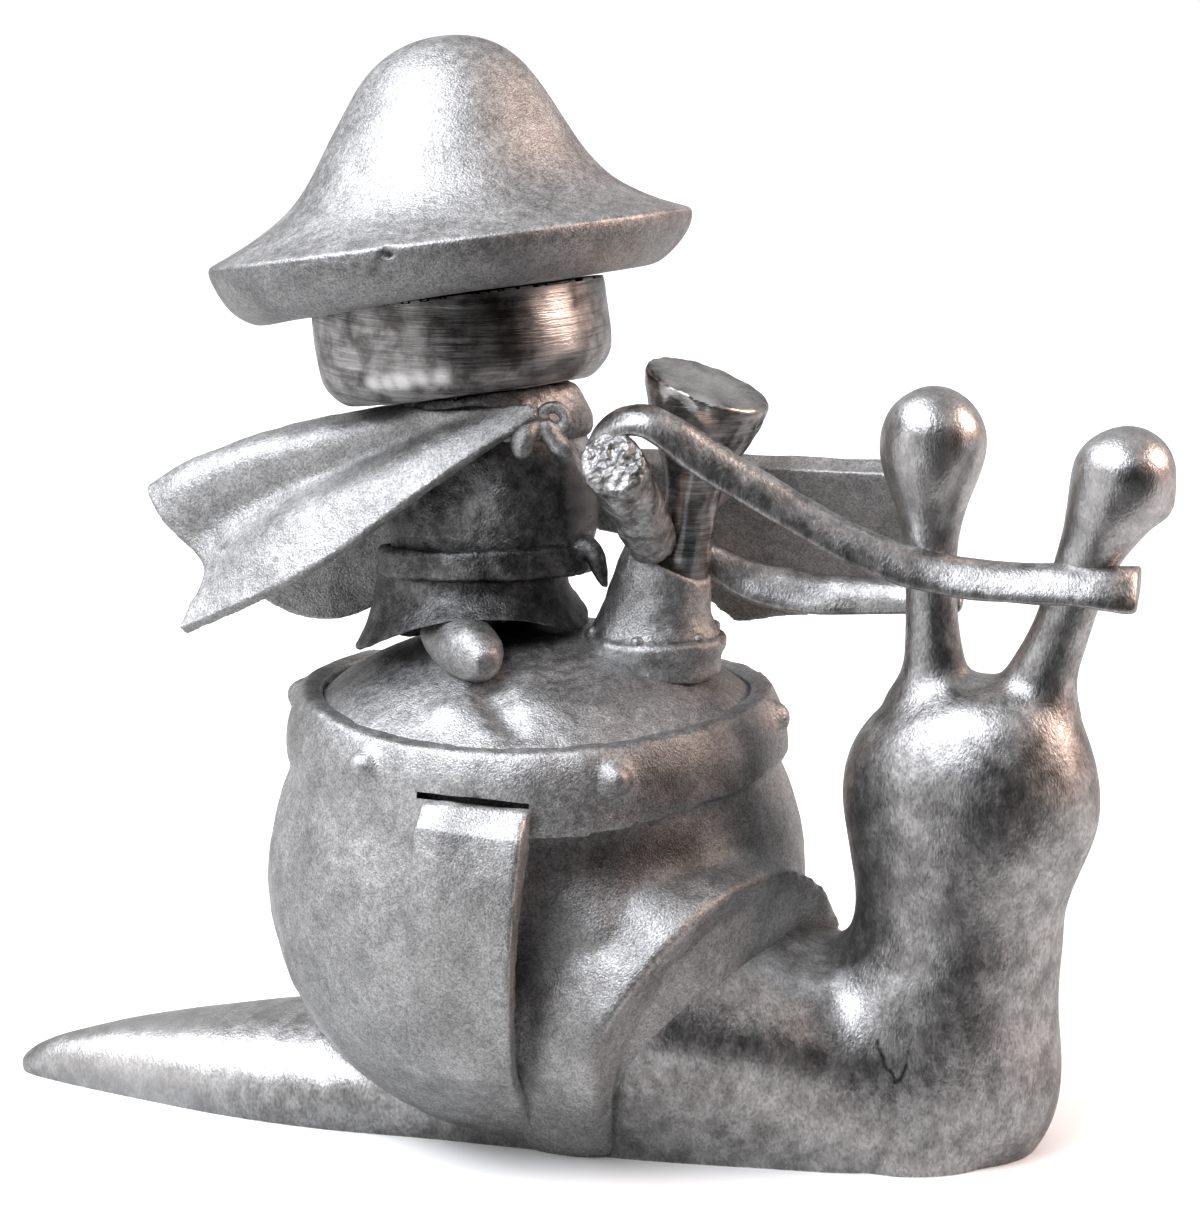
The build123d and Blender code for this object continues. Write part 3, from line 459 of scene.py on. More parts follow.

# %% [markdown]
# ## Softness of a casting
# A pattern shaped by hand and pressed in sand leaves nothing quite sharp or even. So a piece is wrapped
# again in an even mesh and smoothed, which melts its corners. Low lumps make its skin uneven, and a soft
# brush pulls single places. A vertex group holds the weights of a step that acts only near a line. Two
# attributes tell the finishes where a place is rubbed bright and where a highlight is painted, and where
# it is stained and where shade is painted.

# %% Softness of a casting
def melt(piece, voxel, passes):
    """An even skin over everything in the piece, smoothed like a casting. Voxel in mm."""
    apply_modifier(piece, "REMESH", mode="VOXEL", voxel_size=voxel * MM)
    if passes:
        apply_modifier(piece, "SMOOTH", factor=0.5, iterations=passes)
    return piece


def unevenness(piece, size, depth, group=""):
    """Low lumps that a hand-made pattern leaves in the casting. Size and depth in mm."""
    lumps = bpy.data.textures.new(piece.name + "_lumps", "CLOUDS")
    lumps.noise_scale = size * MM
    apply_modifier(
        piece,
        "DISPLACE",
        texture=lumps,
        texture_coords="LOCAL",
        strength=depth * MM,
        mid_level=0.5,
        vertex_group=group,
    )


def push(piece, point, move, radius):
    """Pull the skin round a point, as a soft brush does. All in mm."""
    near = min(piece.data.vertices, key=lambda v: (v.co - Vector(point) * MM).length).index
    edit(piece)
    pick(piece, [near])
    bpy.ops.transform.translate(
        value=Vector(move) * MM,
        use_proportional_edit=True,
        proportional_edit_falloff="SMOOTH",
        proportional_size=radius * MM,
    )
    object_mode()


def cut_flat(piece, point, away):
    """Cut everything off beyond a plane and close the cut. The point is in mm."""
    edit(piece)
    bpy.ops.mesh.bisect(plane_co=Vector(point) * MM, plane_no=Vector(away), use_fill=True, clear_outer=True)
    object_mode()


def mark(piece, weigh):
    """A vertex group for a modifier, with weights from each vertex's place in mm."""
    group = piece.vertex_groups.new(name="marked")
    for vertex in piece.data.vertices:
        weight = weigh(vertex.co / MM)
        if weight > 0:
            group.add([vertex.index], min(1.0, weight), "REPLACE")
    return group.name


def near_line(point, line, radius):
    """How near a point is to a line through places: 1.5 on it, 0 from the radius on. All in mm."""
    away = (point - Vector(line[0])).length
    for a, b in zip(line, line[1:]):
        start, way = Vector(a), Vector(b) - Vector(a)
        share = min(1.0, max(0.0, (point - start).dot(way) / way.length_squared))
        away = min(away, (point - start - way * share).length)
    return max(0.0, 1.5 * (1 - away / radius))


def soften(piece, line, radius, passes):
    """Smooth the skin near a line through places, as metal that ran into a corner. All in mm."""
    group = mark(piece, lambda point: near_line(point, line, radius))
    apply_modifier(piece, "SMOOTH", factor=0.5, iterations=passes, vertex_group=group)


def paint(piece, name, weigh):
    """Put an attribute on a piece: how much, 0 to 1, comes from each vertex's place in mm."""
    layer = piece.data.attributes.new(name, "FLOAT", "POINT")
    for vertex, entry in zip(piece.data.vertices, layer.data):
        entry.value = min(1.0, max(0.0, weigh(vertex.co / MM)))


def wear_and_highlight(piece, spots):
    """Mark places that were filed or rubbed bright, and places with a painted highlight. A spot: point and
    radius in mm, and how bright.
    """
    def brightness(place):
        near = [share * (1 - (place - Vector(point)).length / radius) for point, radius, share in spots]
        return 2 * max(near)

    paint(piece, "worn_and_highlight", brightness)


def stain_and_shade(piece, *lines):
    """Darken along lines: dark oxide on a flaw, and painted shade in valleys, creases and shaded sides. A
    line: how dark, its places and its radius in mm.
    """
    paint(piece, "stain_and_shade", lambda place: max(dark * near_line(place, *line) for dark, *line in lines))


print("ready to melt, soften and mark")

# %% [markdown]
# ## Snail body
# Tail, foot, neck and head are one casting. A tube of rings follows the snail: flat along the ground, round
# an elbow behind the chest, and up the neck to the head. Some rings are squared to fill the shoulders, the
# foot is drawn in toward the ground, and a low pad of rings fills the toe under the chest.

# %% Snail body
foot_rings = [
    (-36.8, 0.5, 0.5, 0.6), (-35.4, 0.7, 1.5, 1.5), (-31.0, 0.9, 2.9, 3.3), (-26.0, 1.1, 3.8, 5.0),
    (-20.0, 1.3, 4.6, 7.1), (-13.0, 1.6, 5.3, 8.3), (-4.0, 2.4, 5.5, 8.7), (3.0, 3.0, 8.0, 10.6),
    (9.0, 4.0, 12.2, 13.0), (13.0, 4.0, 12.2, 12.6),
]
elbow_rings = [
    (90, 19.0, 10.6), (72, 17.0, 9.2), (56, 18.6, 8.4), (43, 20.2, 7.9), (29, 18.5, 7.6), (14, 15.9, 7.3),
]
elbow_corner = Vector((19.6, 0, 13.2))
neck_rings = [
    (13.6, 28.35, 7.15, 6.7), (16.0, 28.6, 6.75, 6.35), (18.6, 28.95, 7.35, 6.6), (21.2, 29.25, 8.25, 6.9),
    (24.0, 29.3, 8.6, 7.0), (26.6, 29.2, 8.15, 6.5), (28.8, 29.5, 7.0, 5.5), (30.6, 30.2, 5.6, 4.2),
    (31.5, 30.6, 3.6, 2.4),
]
body_rings = [((x, 0, z), 90, half, half_y) for x, z, half, half_y in foot_rings]
for turn, depth, half_y in elbow_rings:
    outward = Vector((math.cos(math.radians(turn)), 0, -math.sin(math.radians(turn))))
    body_rings.append((elbow_corner + outward * depth / 2, turn, depth / 2, half_y))
body_rings += [((x, 0, z), 0, half, half_y) for z, x, half, half_y in neck_rings]
ring_fill = {7: 0.15, 8: 0.28, 9: 0.25, 10: 0.15, 11: 0.15, 12: 0.12, 13: 0.1}
sole_half, full_height = 8.3, 8


def full_shoulders(point, number):
    """Square the body from the hood's mouth to the neck, and draw the foot in toward the ground."""
    centre, turn, half, half_y = body_rings[number]
    reach = point - Vector(centre)
    along = reach.x * math.cos(math.radians(turn)) - reach.z * math.sin(math.radians(turn))
    point = Vector(centre) + reach * (1 + ring_fill.get(number, 0.0) * abs(reach.y / half_y * along / half))
    widened = min(1.0, max(0.0, point.z) / full_height) ** 0.8
    foot_half = sole_half + max(0.0, half_y - sole_half) * widened
    return Vector((point.x, max(-foot_half, min(foot_half, point.y)), point.z))


snail = skin_rings("snail", body_rings, reshape=full_shoulders)
toe_rings = [
    ((26.2, 0, -2.0), 0, 6.0, 7.6), ((26.2, 0, 0), 0, 6.5, 8.3), ((26.6, 0, 2.0), 0, 6.9, 8.2),
    ((26.8, 0, 4.5), 0, 6.8, 8.0), ((26.6, 0, 7.0), 0, 5.8, 6.9),
]
join(snail, skin_rings("toe", toe_rings))
unevenness(snail, 9.0, 0.35)
print("body rings:", len(body_rings))

# %% [markdown]
# ## Eye stalks
# Each stalk is a slim stem that swells into a ball and spreads where it leaves the head, so its rings run
# from inside the head to the top of the ball. Body and stalks were cast in one pour, so they are wrapped in
# one even skin. The sole is cut flat, and the fold at the elbow and the roots of the stalks are smoothed
# more. The flaw low on the chest is a hairline: its points are cast from the camera onto the skin, the faces
# there are divided, and dark oxide is left along it.

# %% Eye stalks
rear_rings = [
    ((26.9, 0, 29.6), 0, 4.3, 3.6), ((26.8, 0, 30.8), 0, 3.0, 2.8), ((26.75, 0, 32.0), 0, 2.15, 2.1),
    ((26.6, 0, 33.6), 0, 1.85, 1.85), ((26.4, 0, 36.5), 0, 1.68, 1.7), ((26.3, 0, 39.6), 0, 1.72, 1.75),
    ((26.3, 0, 41.8), 0, 2.05, 2.1), ((26.3, 0, 43.6), 0, 2.65, 2.7), ((26.35, 0, 45.3), 0, 3.35, 3.4),
    ((26.4, 0, 47.0), 0, 3.65, 3.65), ((26.4, 0, 48.7), 0, 3.25, 3.25), ((26.4, 0, 50.0), 0, 2.15, 2.15),
    ((26.4, 0, 50.6), 0, 0.8, 0.8),
]
rear_stalk = skin_rings("rear_stalk", rear_rings, sides=20)
unevenness(rear_stalk, 4.0, 0.2)

front_rings = [
    ((33.0, 0, 29.6), 10, 4.0, 3.4), ((33.4, 0, 30.8), 14, 2.9, 2.7), ((33.9, 0, 32.3), 18, 2.25, 2.2),
    ((34.6, 0, 34.2), 19, 1.95, 1.95), ((35.4, 0, 36.5), 19, 1.85, 1.85), ((36.3, 0, 39.2), 20, 1.95, 1.95),
    ((37.2, 0, 41.4), 21, 2.3, 2.35), ((38.0, 0, 43.1), 20, 3.0, 2.95), ((38.6, 0, 44.7), 16, 3.5, 3.45),
    ((38.95, 0, 46.2), 10, 3.4, 3.4), ((39.1, 0, 47.5), 6, 2.6, 2.65), ((39.2, 0, 48.3), 4, 1.4, 1.4),
    ((39.2, 0, 48.6), 4, 0.5, 0.5),
]
front_stalk = skin_rings("front_stalk", front_rings, sides=20)
push(front_stalk, (41.6, 0, 43.2), (0.35, 0, -0.3), 2.0)
unevenness(front_stalk, 4.0, 0.2)
join(snail, rear_stalk, front_stalk)
melt(snail, 0.30, 6)
cut_flat(snail, (0, 0, 0), (0, 0, -1))
elbow_fold = [
    (19.8, -1.0, 13.3), (20.6, -4.5, 13.2), (22.2, -7.0, 11.6), (23.6, -8.6, 9.4), (24.4, -9.2, 7.4),
]
elbow_hollow = [(22.0, -7.0, 11.5)]
stalk_roots, root_height = [(26.9, 3.1), (33.2, 3.0)], 31.0
around = [2 * math.pi * n / 12 for n in range(12)]
roots = [(x + r * math.cos(a), r * math.sin(a), root_height) for x, r in stalk_roots for a in around]
soften(snail, elbow_fold, 6.0, 120)
soften(snail, roots, 2.6, 60)

lens_place = camera.location
flaw_side, flaw_reach = -7.8, 1.1
flaw_points = [
    (24.7, 9.0), (24.75, 8.5), (25.1, 7.9), (25.2, 7.3), (25.7, 6.9), (25.9, 6.3), (26.2, 6.5),
    (26.45, 7.0), (26.6, 7.5),
]
flaw_ways = [Vector((x, flaw_side, z)) * MM - lens_place for x, z in flaw_points]
flaw = [snail.ray_cast(lens_place, way)[1] / MM for way in flaw_ways]
edit(snail, "DESELECT")
mesh = bmesh.from_edit_mesh(snail.data)
for face in mesh.faces:
    face.select = any((face.calc_center_median() / MM - place).length < flaw_reach for place in flaw)
bmesh.update_edit_mesh(snail.data)
bpy.ops.mesh.subdivide(number_cuts=3)
object_mode()
# Dark oxide along the hairline flaw, and painted shade in the hollow at the elbow, which tones its highlight
# down
stain_and_shade(snail, (0.6, flaw, 0.2), (0.2, elbow_hollow, 4.0))
# The eye balls are rubbed smoother and brighter. The spot on the tail is a painted highlight
wear_and_highlight(snail, [((26.4, 0, 47.0), 7.0, 0.25), ((38.9, 0, 45.6), 7.0, 0.25), ((-27.0, -2.0, 4.0), 12.0, 0.3)])
finish_piece(
    snail, satin_cast, "satin_aluminium", "snail", "snail_body", "eye_stalk_rear", "eye_stalk_front"
)

# %% [markdown]
# ## Shell hood
# The body leaves the shell under a thick flared lip, turned toward the snail's right. Three lines in space
# shape it, from the ground on the near side over the body to the far side: the valley where it leaves the
# shell, its sharp crest, and the inner edge of its lip. More lines between them make a closed tube, and a
# flat grid is pulled onto all of them.

# %% Shell hood
def pulled_grid(name, lines):
    """A flat grid whose points are pulled onto lines of places in mm."""
    object_mode()
    rows = len(lines[0])
    bpy.ops.mesh.primitive_grid_add(x_subdivisions=rows - 1, y_subdivisions=len(lines) - 1, size=1)
    piece = bpy.context.object
    piece.name = piece.data.name = name
    for vertex in piece.data.vertices:
        row = round((vertex.co.x + 0.5) * (rows - 1))
        line = round((vertex.co.y + 0.5) * (len(lines) - 1))
        vertex.co = Vector(lines[line][row]) * MM
    return piece


shell_height = 16.7
shell_middle = Vector((0, 0, shell_height))
hood_valley = [
    (0.3, -7.6, -1.2), (0.9, -10.2, 2.2), (1.5, -13.0, 5.2), (2.2, -15.2, 8.4), (2.8, -15.9, 10.5),
    (3.2, -15.7, 13.8), (3.6, -14.7, 17.1), (4.4, -13.8, 20.1), (7.3, -12.8, 21.0), (12.3, -9.7, 21.4),
    (16.5, -4.4, 20.2), (15.6, 6.9, 14.4), (13.7, 8.5, 10.7), (10.9, 8.4, 6.4), (4.0, 7.6, -1.2),
]
hood_crest = [
    (6.0, -7.6, -1.2), (6.7, -10.6, 1.2), (7.3, -13.6, 4.1), (7.8, -15.9, 7.1), (8.0, -17.4, 10.0),
    (9.6, -17.5, 12.5), (11.8, -16.2, 15.6), (14.5, -13.4, 18.6), (16.5, -9.6, 19.4), (18.5, -4.5, 19.5),
    (19.6, 0.1, 17.3), (20.0, 3.1, 14.6), (19.9, 5.9, 10.4), (18.8, 7.2, 6.1), (16.2, 7.7, -1.1),
]
hood_inner = [
    (7.6, -7.2, -1.2), (8.1, -9.4, 0.8), (8.5, -11.6, 4.0), (8.8, -12.4, 6.2), (9.7, -12.3, 8.6),
    (11.2, -11.0, 10.9), (12.7, -9.4, 12.7), (14.5, -6.5, 13.9), (16.2, -2.9, 13.7), (17.4, 0.4, 12.7),
    (17.6, 1.6, 11.5), (17.4, 3.0, 9.6), (16.9, 3.9, 7.0), (15.4, 4.3, 3.0), (13.8, 4.2, -1.0),
]


def between(first, second, share, lift=0.0):
    """A line part of the way from one line to another, lifted off the shell. All in mm."""
    places = [Vector(a).lerp(Vector(b), share) for a, b in zip(first, second)]
    return [place + (place - shell_middle).normalized() * lift for place in places]


outside = [(0.0, -0.9), (0.12, -0.1), (0.4, 0.25), (0.7, 0.25), (0.93, 0.1), (1.0, 0.0)]
hood_lines = [between(hood_valley, hood_crest, share, lift) for share, lift in outside]
hood_lines += [between(hood_crest, hood_inner, share) for share in (0.12, 0.5, 1.0)]
hood_lines += [between(hood_inner, hood_valley, share, -4.0) for share in (0.3, 0.7)]
hood = pulled_grid("hood", hood_lines + hood_lines[:1])
edit(hood)
bpy.ops.mesh.remove_doubles(threshold=0.01 * MM)
bpy.ops.mesh.fill_holes(sides=0)
bpy.ops.mesh.normals_make_consistent()
object_mode()
apply_modifier(hood, "SUBSURF", levels=2)
print("hood lines:", len(hood_lines))

# %% [markdown]
# ## Shell
# The pot, the band over its rim, the rivet heads and the hood read as one casting with soft corners, so
# copies of those solids are wrapped together with the hood and smoothed. First the pot is sunk along the
# hood's valley. The seams along the valley, at the hood's far end and at the band's foot on the left are
# smoothed more. A thin slot is cut where the strap goes under the band.

# %% Shell
def copy_nodes(name, *nodes):
    """The meshes of some CAD nodes as one new piece, with their loose triangles merged."""
    object_mode()
    bpy.ops.object.select_all(action="DESELECT")
    for node in nodes:
        part = bpy.data.objects.new(name, frame["nodes"][node].data.copy())
        bpy.context.collection.objects.link(part)
        part.data.materials.clear()
        part.select_set(True)
        bpy.context.view_layer.objects.active = part
    if len(nodes) > 1:
        bpy.ops.object.join()
    piece = bpy.context.object
    edit(piece)
    bpy.ops.mesh.remove_doubles(threshold=0.002 * MM)
    object_mode()
    piece.name = piece.data.name = name
    return piece


def sculpt(piece, middle, line, depths, radius, steps=8):
    """Move the skin out from a middle along a line, or in where a depth is below 0. All in mm."""
    path = []
    for (a, b), (low, high) in zip(zip(line, line[1:]), zip(depths, depths[1:])):
        for step in range(steps + 1):
            path.append((Vector(a).lerp(Vector(b), step / steps), low + (high - low) * step / steps))
    for vertex in piece.data.vertices:
        point = vertex.co / MM
        away, depth = min(((point - place).length, depth) for place, depth in path)
        if away < radius:
            share = (1 - (away / radius) ** 2) ** 2
            vertex.co += (point - middle).normalized() * depth * share * MM


def on_band(turn, height):
    """A point on the band by its turn from the near side, in radians, and its height in mm."""
    return (band_radius * math.sin(turn), -band_radius * math.cos(turn), height)


band_radius, band_foot_height = 17.4, 23.2
near_valley, far_crest, dark_valley = hood_valley[2:11], hood_crest[8:13], hood_valley[5:10]
valley_depths = (-0.5, -0.5, -0.8, -1.7, -2.8, -3.1, -2.5, -1.6, -0.6)
shell = melt(copy_nodes("shell", "shell_pot"), 0.4, 0)
sculpt(shell, shell_middle, near_valley, valley_depths, 6.0)
join(shell, copy_nodes("rim", "shell_band", "band_rivets"), hood)
melt(shell, 0.33, 3)
band_foot = [on_band(turn, band_foot_height) for turn in (-1.6, -1.35, -1.1, -0.85, -0.6, -0.35)]
for seam, radius, passes in ((band_foot, 4.0, 30), (near_valley, 2.2, 30), (far_crest, 1.8, 8)):
    soften(shell, seam, radius, passes)
apply_modifier(shell, "SMOOTH", factor=0.5, iterations=1)

slot_middle, slot_size = Vector((0.05, -16.9, 25.75)), Vector((7.4, 4.4, 0.42))
slot_tilt = (math.radians(-14), math.radians(2.5), 0)
bpy.ops.mesh.primitive_cube_add(size=1, location=slot_middle * MM)
slot = bpy.context.object
slot.scale = slot_size * MM
slot.rotation_euler = slot_tilt
bpy.ops.object.transform_apply(location=False)
apply_modifier(shell, "BOOLEAN", operation="DIFFERENCE", object=slot, solver="EXACT")
bpy.data.objects.remove(slot)
cut_flat(shell, (0, 0, 0), (0, 0, -1))
unevenness(shell, 3.0, 0.25)
# Painted shade in the valley behind the hood and on the right side of the band
shaded = [on_band(turn, height) for turn in (0.75, 1.0, 1.25) for height in (21.0, 24.5, 28.0)]
stain_and_shade(shell, (0.6, dark_valley, 4.0), (0.45, shaded, 4.5))
finish_piece(
    shell, sand_cast, "cast_aluminium", "snail", "shell_pot", "shell_band", "band_rivets", "shell_hood"
)

# %% [markdown]
# ## Cap
# The dome that the rider sits on is a skin of rings on one big sphere, and its edge runs on under the band,
# so only a fine line shows between them. A crease runs down beside the boot.

# %% Cap
def blend(value, pairs):
    """Read a value off a list of (place, value) pairs, straight between them."""
    if value <= pairs[0][0]:
        return pairs[0][1]
    for (a, low), (b, high) in zip(pairs, pairs[1:]):
        if value <= b:
            return low + (high - low) * (value - a) / (b - a)
    return pairs[-1][1]


cap_radius, cap_centre = 21.94, 11.86
cap_edge = [(13.6, 26.0), (14.6, 26.6), (15.6, 27.7), (15.1, 28.35)]
cap_rings = [((0, 0, z), 0, r, r) for r, z in cap_edge]
for r in (14.3, 13.0, 11.0, 8.5, 6.0, 3.0, 1.0):
    lift = blend(r, [(8.0, 0.0), (14.3, 0.3)])
    cap_rings.append(((0, 0, cap_centre + lift + math.sqrt(cap_radius**2 - r**2)), 0, r, r))
cap = skin_rings("cap", cap_rings, sides=48)
melt(cap, 0.32, 1)
crease = [
    ((-0.9, -9.6, 31.5), -0.5, 1.6), ((0.2, -11.0, 30.8), -0.6, 1.7), ((1.2, -12.2, 30.1), -0.5, 1.7),
    ((2.2, -13.1, 29.3), -0.3, 1.6), ((-2.6, -11.6, 30.3), 0.3, 2.2), ((3.6, -10.4, 30.8), 0.2, 2.5),
]
for point, amount, radius in crease:
    push(cap, point, Vector((0, -0.5 * amount, 0.85 * amount)), radius)
unevenness(cap, 3.0, 0.25)
finish_piece(cap, sand_cast, "cast_aluminium", "snail", "shell_cap")

# %% [markdown]
# ## Girth straps
# A strap runs down each side from the band to the sole. Its top is cut off below the slot, and its copy is
# melted only a little, because its edges stay crisp. Its rear edge is sunk into the shell, and its lower end
# is drawn in toward the ground.

# %% Girth straps
strap_top, top_slope = (0, 0, 25.55), (0.04, 0, 1)
rear_sink, foot_width = [(-4.6, 0.75), (-1.5, 0.0)], [(0.0, 0.76), (7.0, 1.0)]
for name, node in (("near_strap", "girth_strap_right"), ("far_strap", "girth_strap_left")):
    strap = copy_nodes(name, node)
    cut_flat(strap, strap_top, top_slope)
    melt(strap, 0.22, 3)
    for vertex in strap.data.vertices:
        sunk = blend(vertex.co.x / MM, rear_sink)
        outward = Vector((vertex.co.x, vertex.co.y, vertex.co.z - shell_height * MM)).normalized()
        vertex.co -= outward * sunk * MM
        vertex.co.y *= blend(vertex.co.z / MM, foot_width)
    unevenness(strap, 3.0, 0.22)
    finish_piece(strap, sand_cast, "cast_aluminium", "snail", node)

# %% [markdown]
# ## Hat and head
# Both turn on one leaning axis, which the joints give. They are built upright from rings and then set on
# that axis. The hat's brim has a thick edge with a sharp upper corner, so rings lie close together there.

# %% Hat and head
def place_in(piece, matrix):
    """Move a piece that was built upright at the origin into its own leaning frame."""
    only(piece)
    piece.matrix_world = matrix
    bpy.ops.object.transform_apply()


def standing(origin, axis, toward=(1, 0, 0)):
    """A frame at a point in mm whose Z is the axis, with X as near as it can be to a direction."""
    z = Vector(axis).normalized()
    y = z.cross(Vector(toward)).normalized()
    matrix = Matrix((y.cross(z), y, z)).transposed().to_4x4()
    matrix.translation = Vector(origin) * MM
    return matrix


joints = {joint["name"]: joint for joint in frame["joints"]}
hat_profile = [
    (6.0, 0.0, 0), (12.7, 0.0, 0), (13.5, 0.15, 0), (15.0, 1.2, 0), (15.9, 2.5, 0), (16.05, 3.3, 0),
    (15.95, 3.62, 0), (15.5, 3.8, 0), (13.7, 4.5, 0), (11.3, 5.85, 0.1), (9.6, 7.5, 0.3), (8.25, 9.8, 0.5),
    (7.0, 12.0, 0.7), (5.7, 14.0, 0.85), (4.3, 15.45, 1.0), (2.6, 16.4, 1.05), (0.9, 16.7, 1.05),
]
brim_underside, brim_height = (1, 2, 3), 3.4


def lower_back(point, number):
    """Let the brim hang a little lower at the back, outside the head."""
    tilt = blend(point.x, [(-14.0, -0.7), (0.0, 0.0), (14.0, 0.15)])
    return point + Vector((0, 0, tilt if number in brim_underside else 0))


hat_axis = Vector(joints["hat_spin"]["axis"])
hat_seat = Vector(joints["hat_spin"]["pos_m"]) / MM
hat_rings = [((shift, 0, s), 0, r, r) for r, s, shift in hat_profile]
hat = skin_rings("hat", hat_rings, sides=48, reshape=lower_back)
place_in(hat, standing(hat_seat, hat_axis))
apply_modifier(hat, "SUBSURF", levels=1)
unevenness(hat, 7.0, 0.2)
scuffs = [
    (-11.9, -13.1, 58.5), (-11.2, -13.4, 58.7), (-9.0, -13.9, 59.0), (-8.4, -14.0, 59.2),
    (-6.4, -14.2, 59.2),
]
unevenness(hat, 0.5, 0.55, mark(hat, lambda point: near_line(point, scuffs, 0.9)))
push(hat, (-5.8, -14.2, 60.2), (0.1, 0.5, -0.3), 0.6)
# Painted shade on the brim: the hat is darker up to the brim's height
paint(hat, "stain_and_shade", lambda place: 0.3 if (place - hat_seat).dot(hat_axis) < brim_height else 0.0)
finish_piece(hat, sand_cast, "cast_aluminium", "hat", "rider_hat")

head_profile = [
    (5.0, 0.05), (7.6, 0.05), (8.3, 0.2), (9.2, 1.1), (9.6, 1.9), (9.72, 3.2), (9.72, 5.4), (9.7, 6.3),
    (9.62, 6.7), (9.3, 6.8), (5.0, 6.8),
]
hat_gap, neck_gap = 0.14, 0.12
head = skin_rings("head", [((0, 0, s), 0, r, r) for r, s in head_profile], sides=48)
head_seat = Vector(joints["head_turn"]["pos_m"]) / MM
place_in(head, standing(head_seat, joints["head_turn"]["axis"]))
unevenness(head, 5.0, 0.25)
cut_flat(head, hat_seat - hat_axis * hat_gap, hat_axis)
# Bright filed marks: the row low on the near side is a filed scratch, and the two wide spots on the right
# side are smoother and brighter, a painted highlight where the drum was filed
head_spots = [
    ((-8.8, -8.1, 50.5), 0.9, 0.7), ((-7.7, -8.5, 50.6), 0.8, 0.8), ((-6.7, -8.7, 50.8), 0.9, 0.9),
    ((-5.3, -8.9, 51.1), 0.8, 0.6), ((-4.0, -8.8, 51.3), 0.9, 0.6), ((2.2, -5.0, 55.0), 2.6, 0.45),
    ((3.0, -4.0, 53.0), 2.6, 0.35),
]
wear_and_highlight(head, head_spots)
finish_piece(head, filed, "filed_aluminium", "head", "rider_head")

# %% [markdown]
# ## Rider's torso, collar and knot
# The rider sits with a slight lean. The torso is a skin of rings in that leaning frame, with a flat strip
# down the chest. The collar is a low roll under the head, and the knot is a small loop with two short tails.
# They are melted together, so that they read as cloth that was cast.

# %% Torso, collar and knot
hip_frame = standing((-3.6, -0.5, 36.9), (-0.0523, 0.1217, 0.9912))


def chest_strip(point, number):
    """Pull the front of the chest out into a flat strip, and tilt the top as the head is tilted."""
    front = max(0.0, point.x - 5.2)
    return point + Vector((0.35 * front, 0, 0.1 * point.x * blend(point.z, [(7.0, 0.0), (10.5, 1.0)])))


torso_rings = [
    ((0.2, 0, -0.4), 0, 5.8, 5.3), ((0.3, 0, 0.4), 0, 6.4, 5.8), ((0.5, 0, 2.2), 0, 6.6, 6.0),
    ((0.7, 0, 4.4), 0, 6.75, 6.2), ((0.7, 0, 6.6), 0, 6.7, 6.15), ((0.5, 0, 8.8), 0, 6.3, 5.85),
    ((0.3, 0, 10.4), 0, 5.6, 5.3), ((0.0, 0, 11.3), 0, 4.7, 4.5), ((-0.2, 0, 11.5), 0, 3.4, 3.3),
]
torso = skin_rings("torso", torso_rings, sides=28, reshape=chest_strip)
place_in(torso, hip_frame)
melt(torso, 0.22, 2)
unevenness(torso, 3.0, 0.5)
unevenness(torso, 1.0, 0.22)
# A painted highlight down the chest strip, where light falls on it. The torso's darker finish is painted
# shade under the hat and cape
wear_and_highlight(torso, [((3.3, -0.8, z), 2.4, 0.6) for z in (41.0, 42.5, 44.0, 45.5)])
finish_piece(torso, shaded_cast, "cast_aluminium", "snail", "rider_torso")

collar_rings = [
    ((1.2, 0, 8.4), 0, 5.5, 5.4), ((1.3, 0, 9.0), 0, 5.9, 5.8), ((1.2, 0, 10.0), 0, 5.8, 5.7),
    ((1.1, 0, 11.0), 0, 5.5, 5.5), ((1.0, 0, 11.9), 0, 5.2, 5.2), ((1.0, 0, 12.3), 0, 4.4, 4.4),
]
collar = skin_rings("collar", collar_rings, sides=28, reshape=chest_strip)
place_in(collar, hip_frame)
tail_turn = 170
tails = []
for knot_tail in (
    [(0.9, -4.9, 48.3, 0.9), (0.7, -5.5, 47.4, 1.0), (0.6, -5.8, 46.5, 0.85), (0.6, -5.8, 45.7, 0.4)],
    [(1.7, -4.8, 48.2, 0.8), (2.3, -4.7, 47.0, 0.75), (2.9, -4.5, 46.2, 0.8), (3.2, -4.3, 45.6, 0.4)],
):
    tail_rings = [((x, y, z), tail_turn, r, r) for x, y, z, r in knot_tail]
    tails.append(skin_rings("tail", tail_rings, sides=12))
bpy.ops.mesh.primitive_torus_add(
    major_radius=0.85 * MM,
    minor_radius=0.42 * MM,
    major_segments=24,
    minor_segments=10,
    location=Vector((2.3, -4.4, 48.1)) * MM,
    rotation=(math.radians(80), 0, math.radians(10)),
)
loop = bpy.context.object
bpy.ops.object.transform_apply()
join(collar, loop, *tails)
melt(collar, 0.16, 2)
unevenness(collar, 1.0, 0.25)
cut_flat(collar, head_seat - hat_axis * neck_gap, hat_axis)
finish_piece(collar, sand_cast, "cast_aluminium", "snail", "scarf_ring")

# %% [markdown]
# ## Cape
# The cape is a thin cast sheet that blows back from the collar. A flat grid is pulled into place line by
# line, from the near edge over the crease and the top ridge to the far edge, then smoothed and given its
# thickness. Each line runs from the collar to the trailing edge.

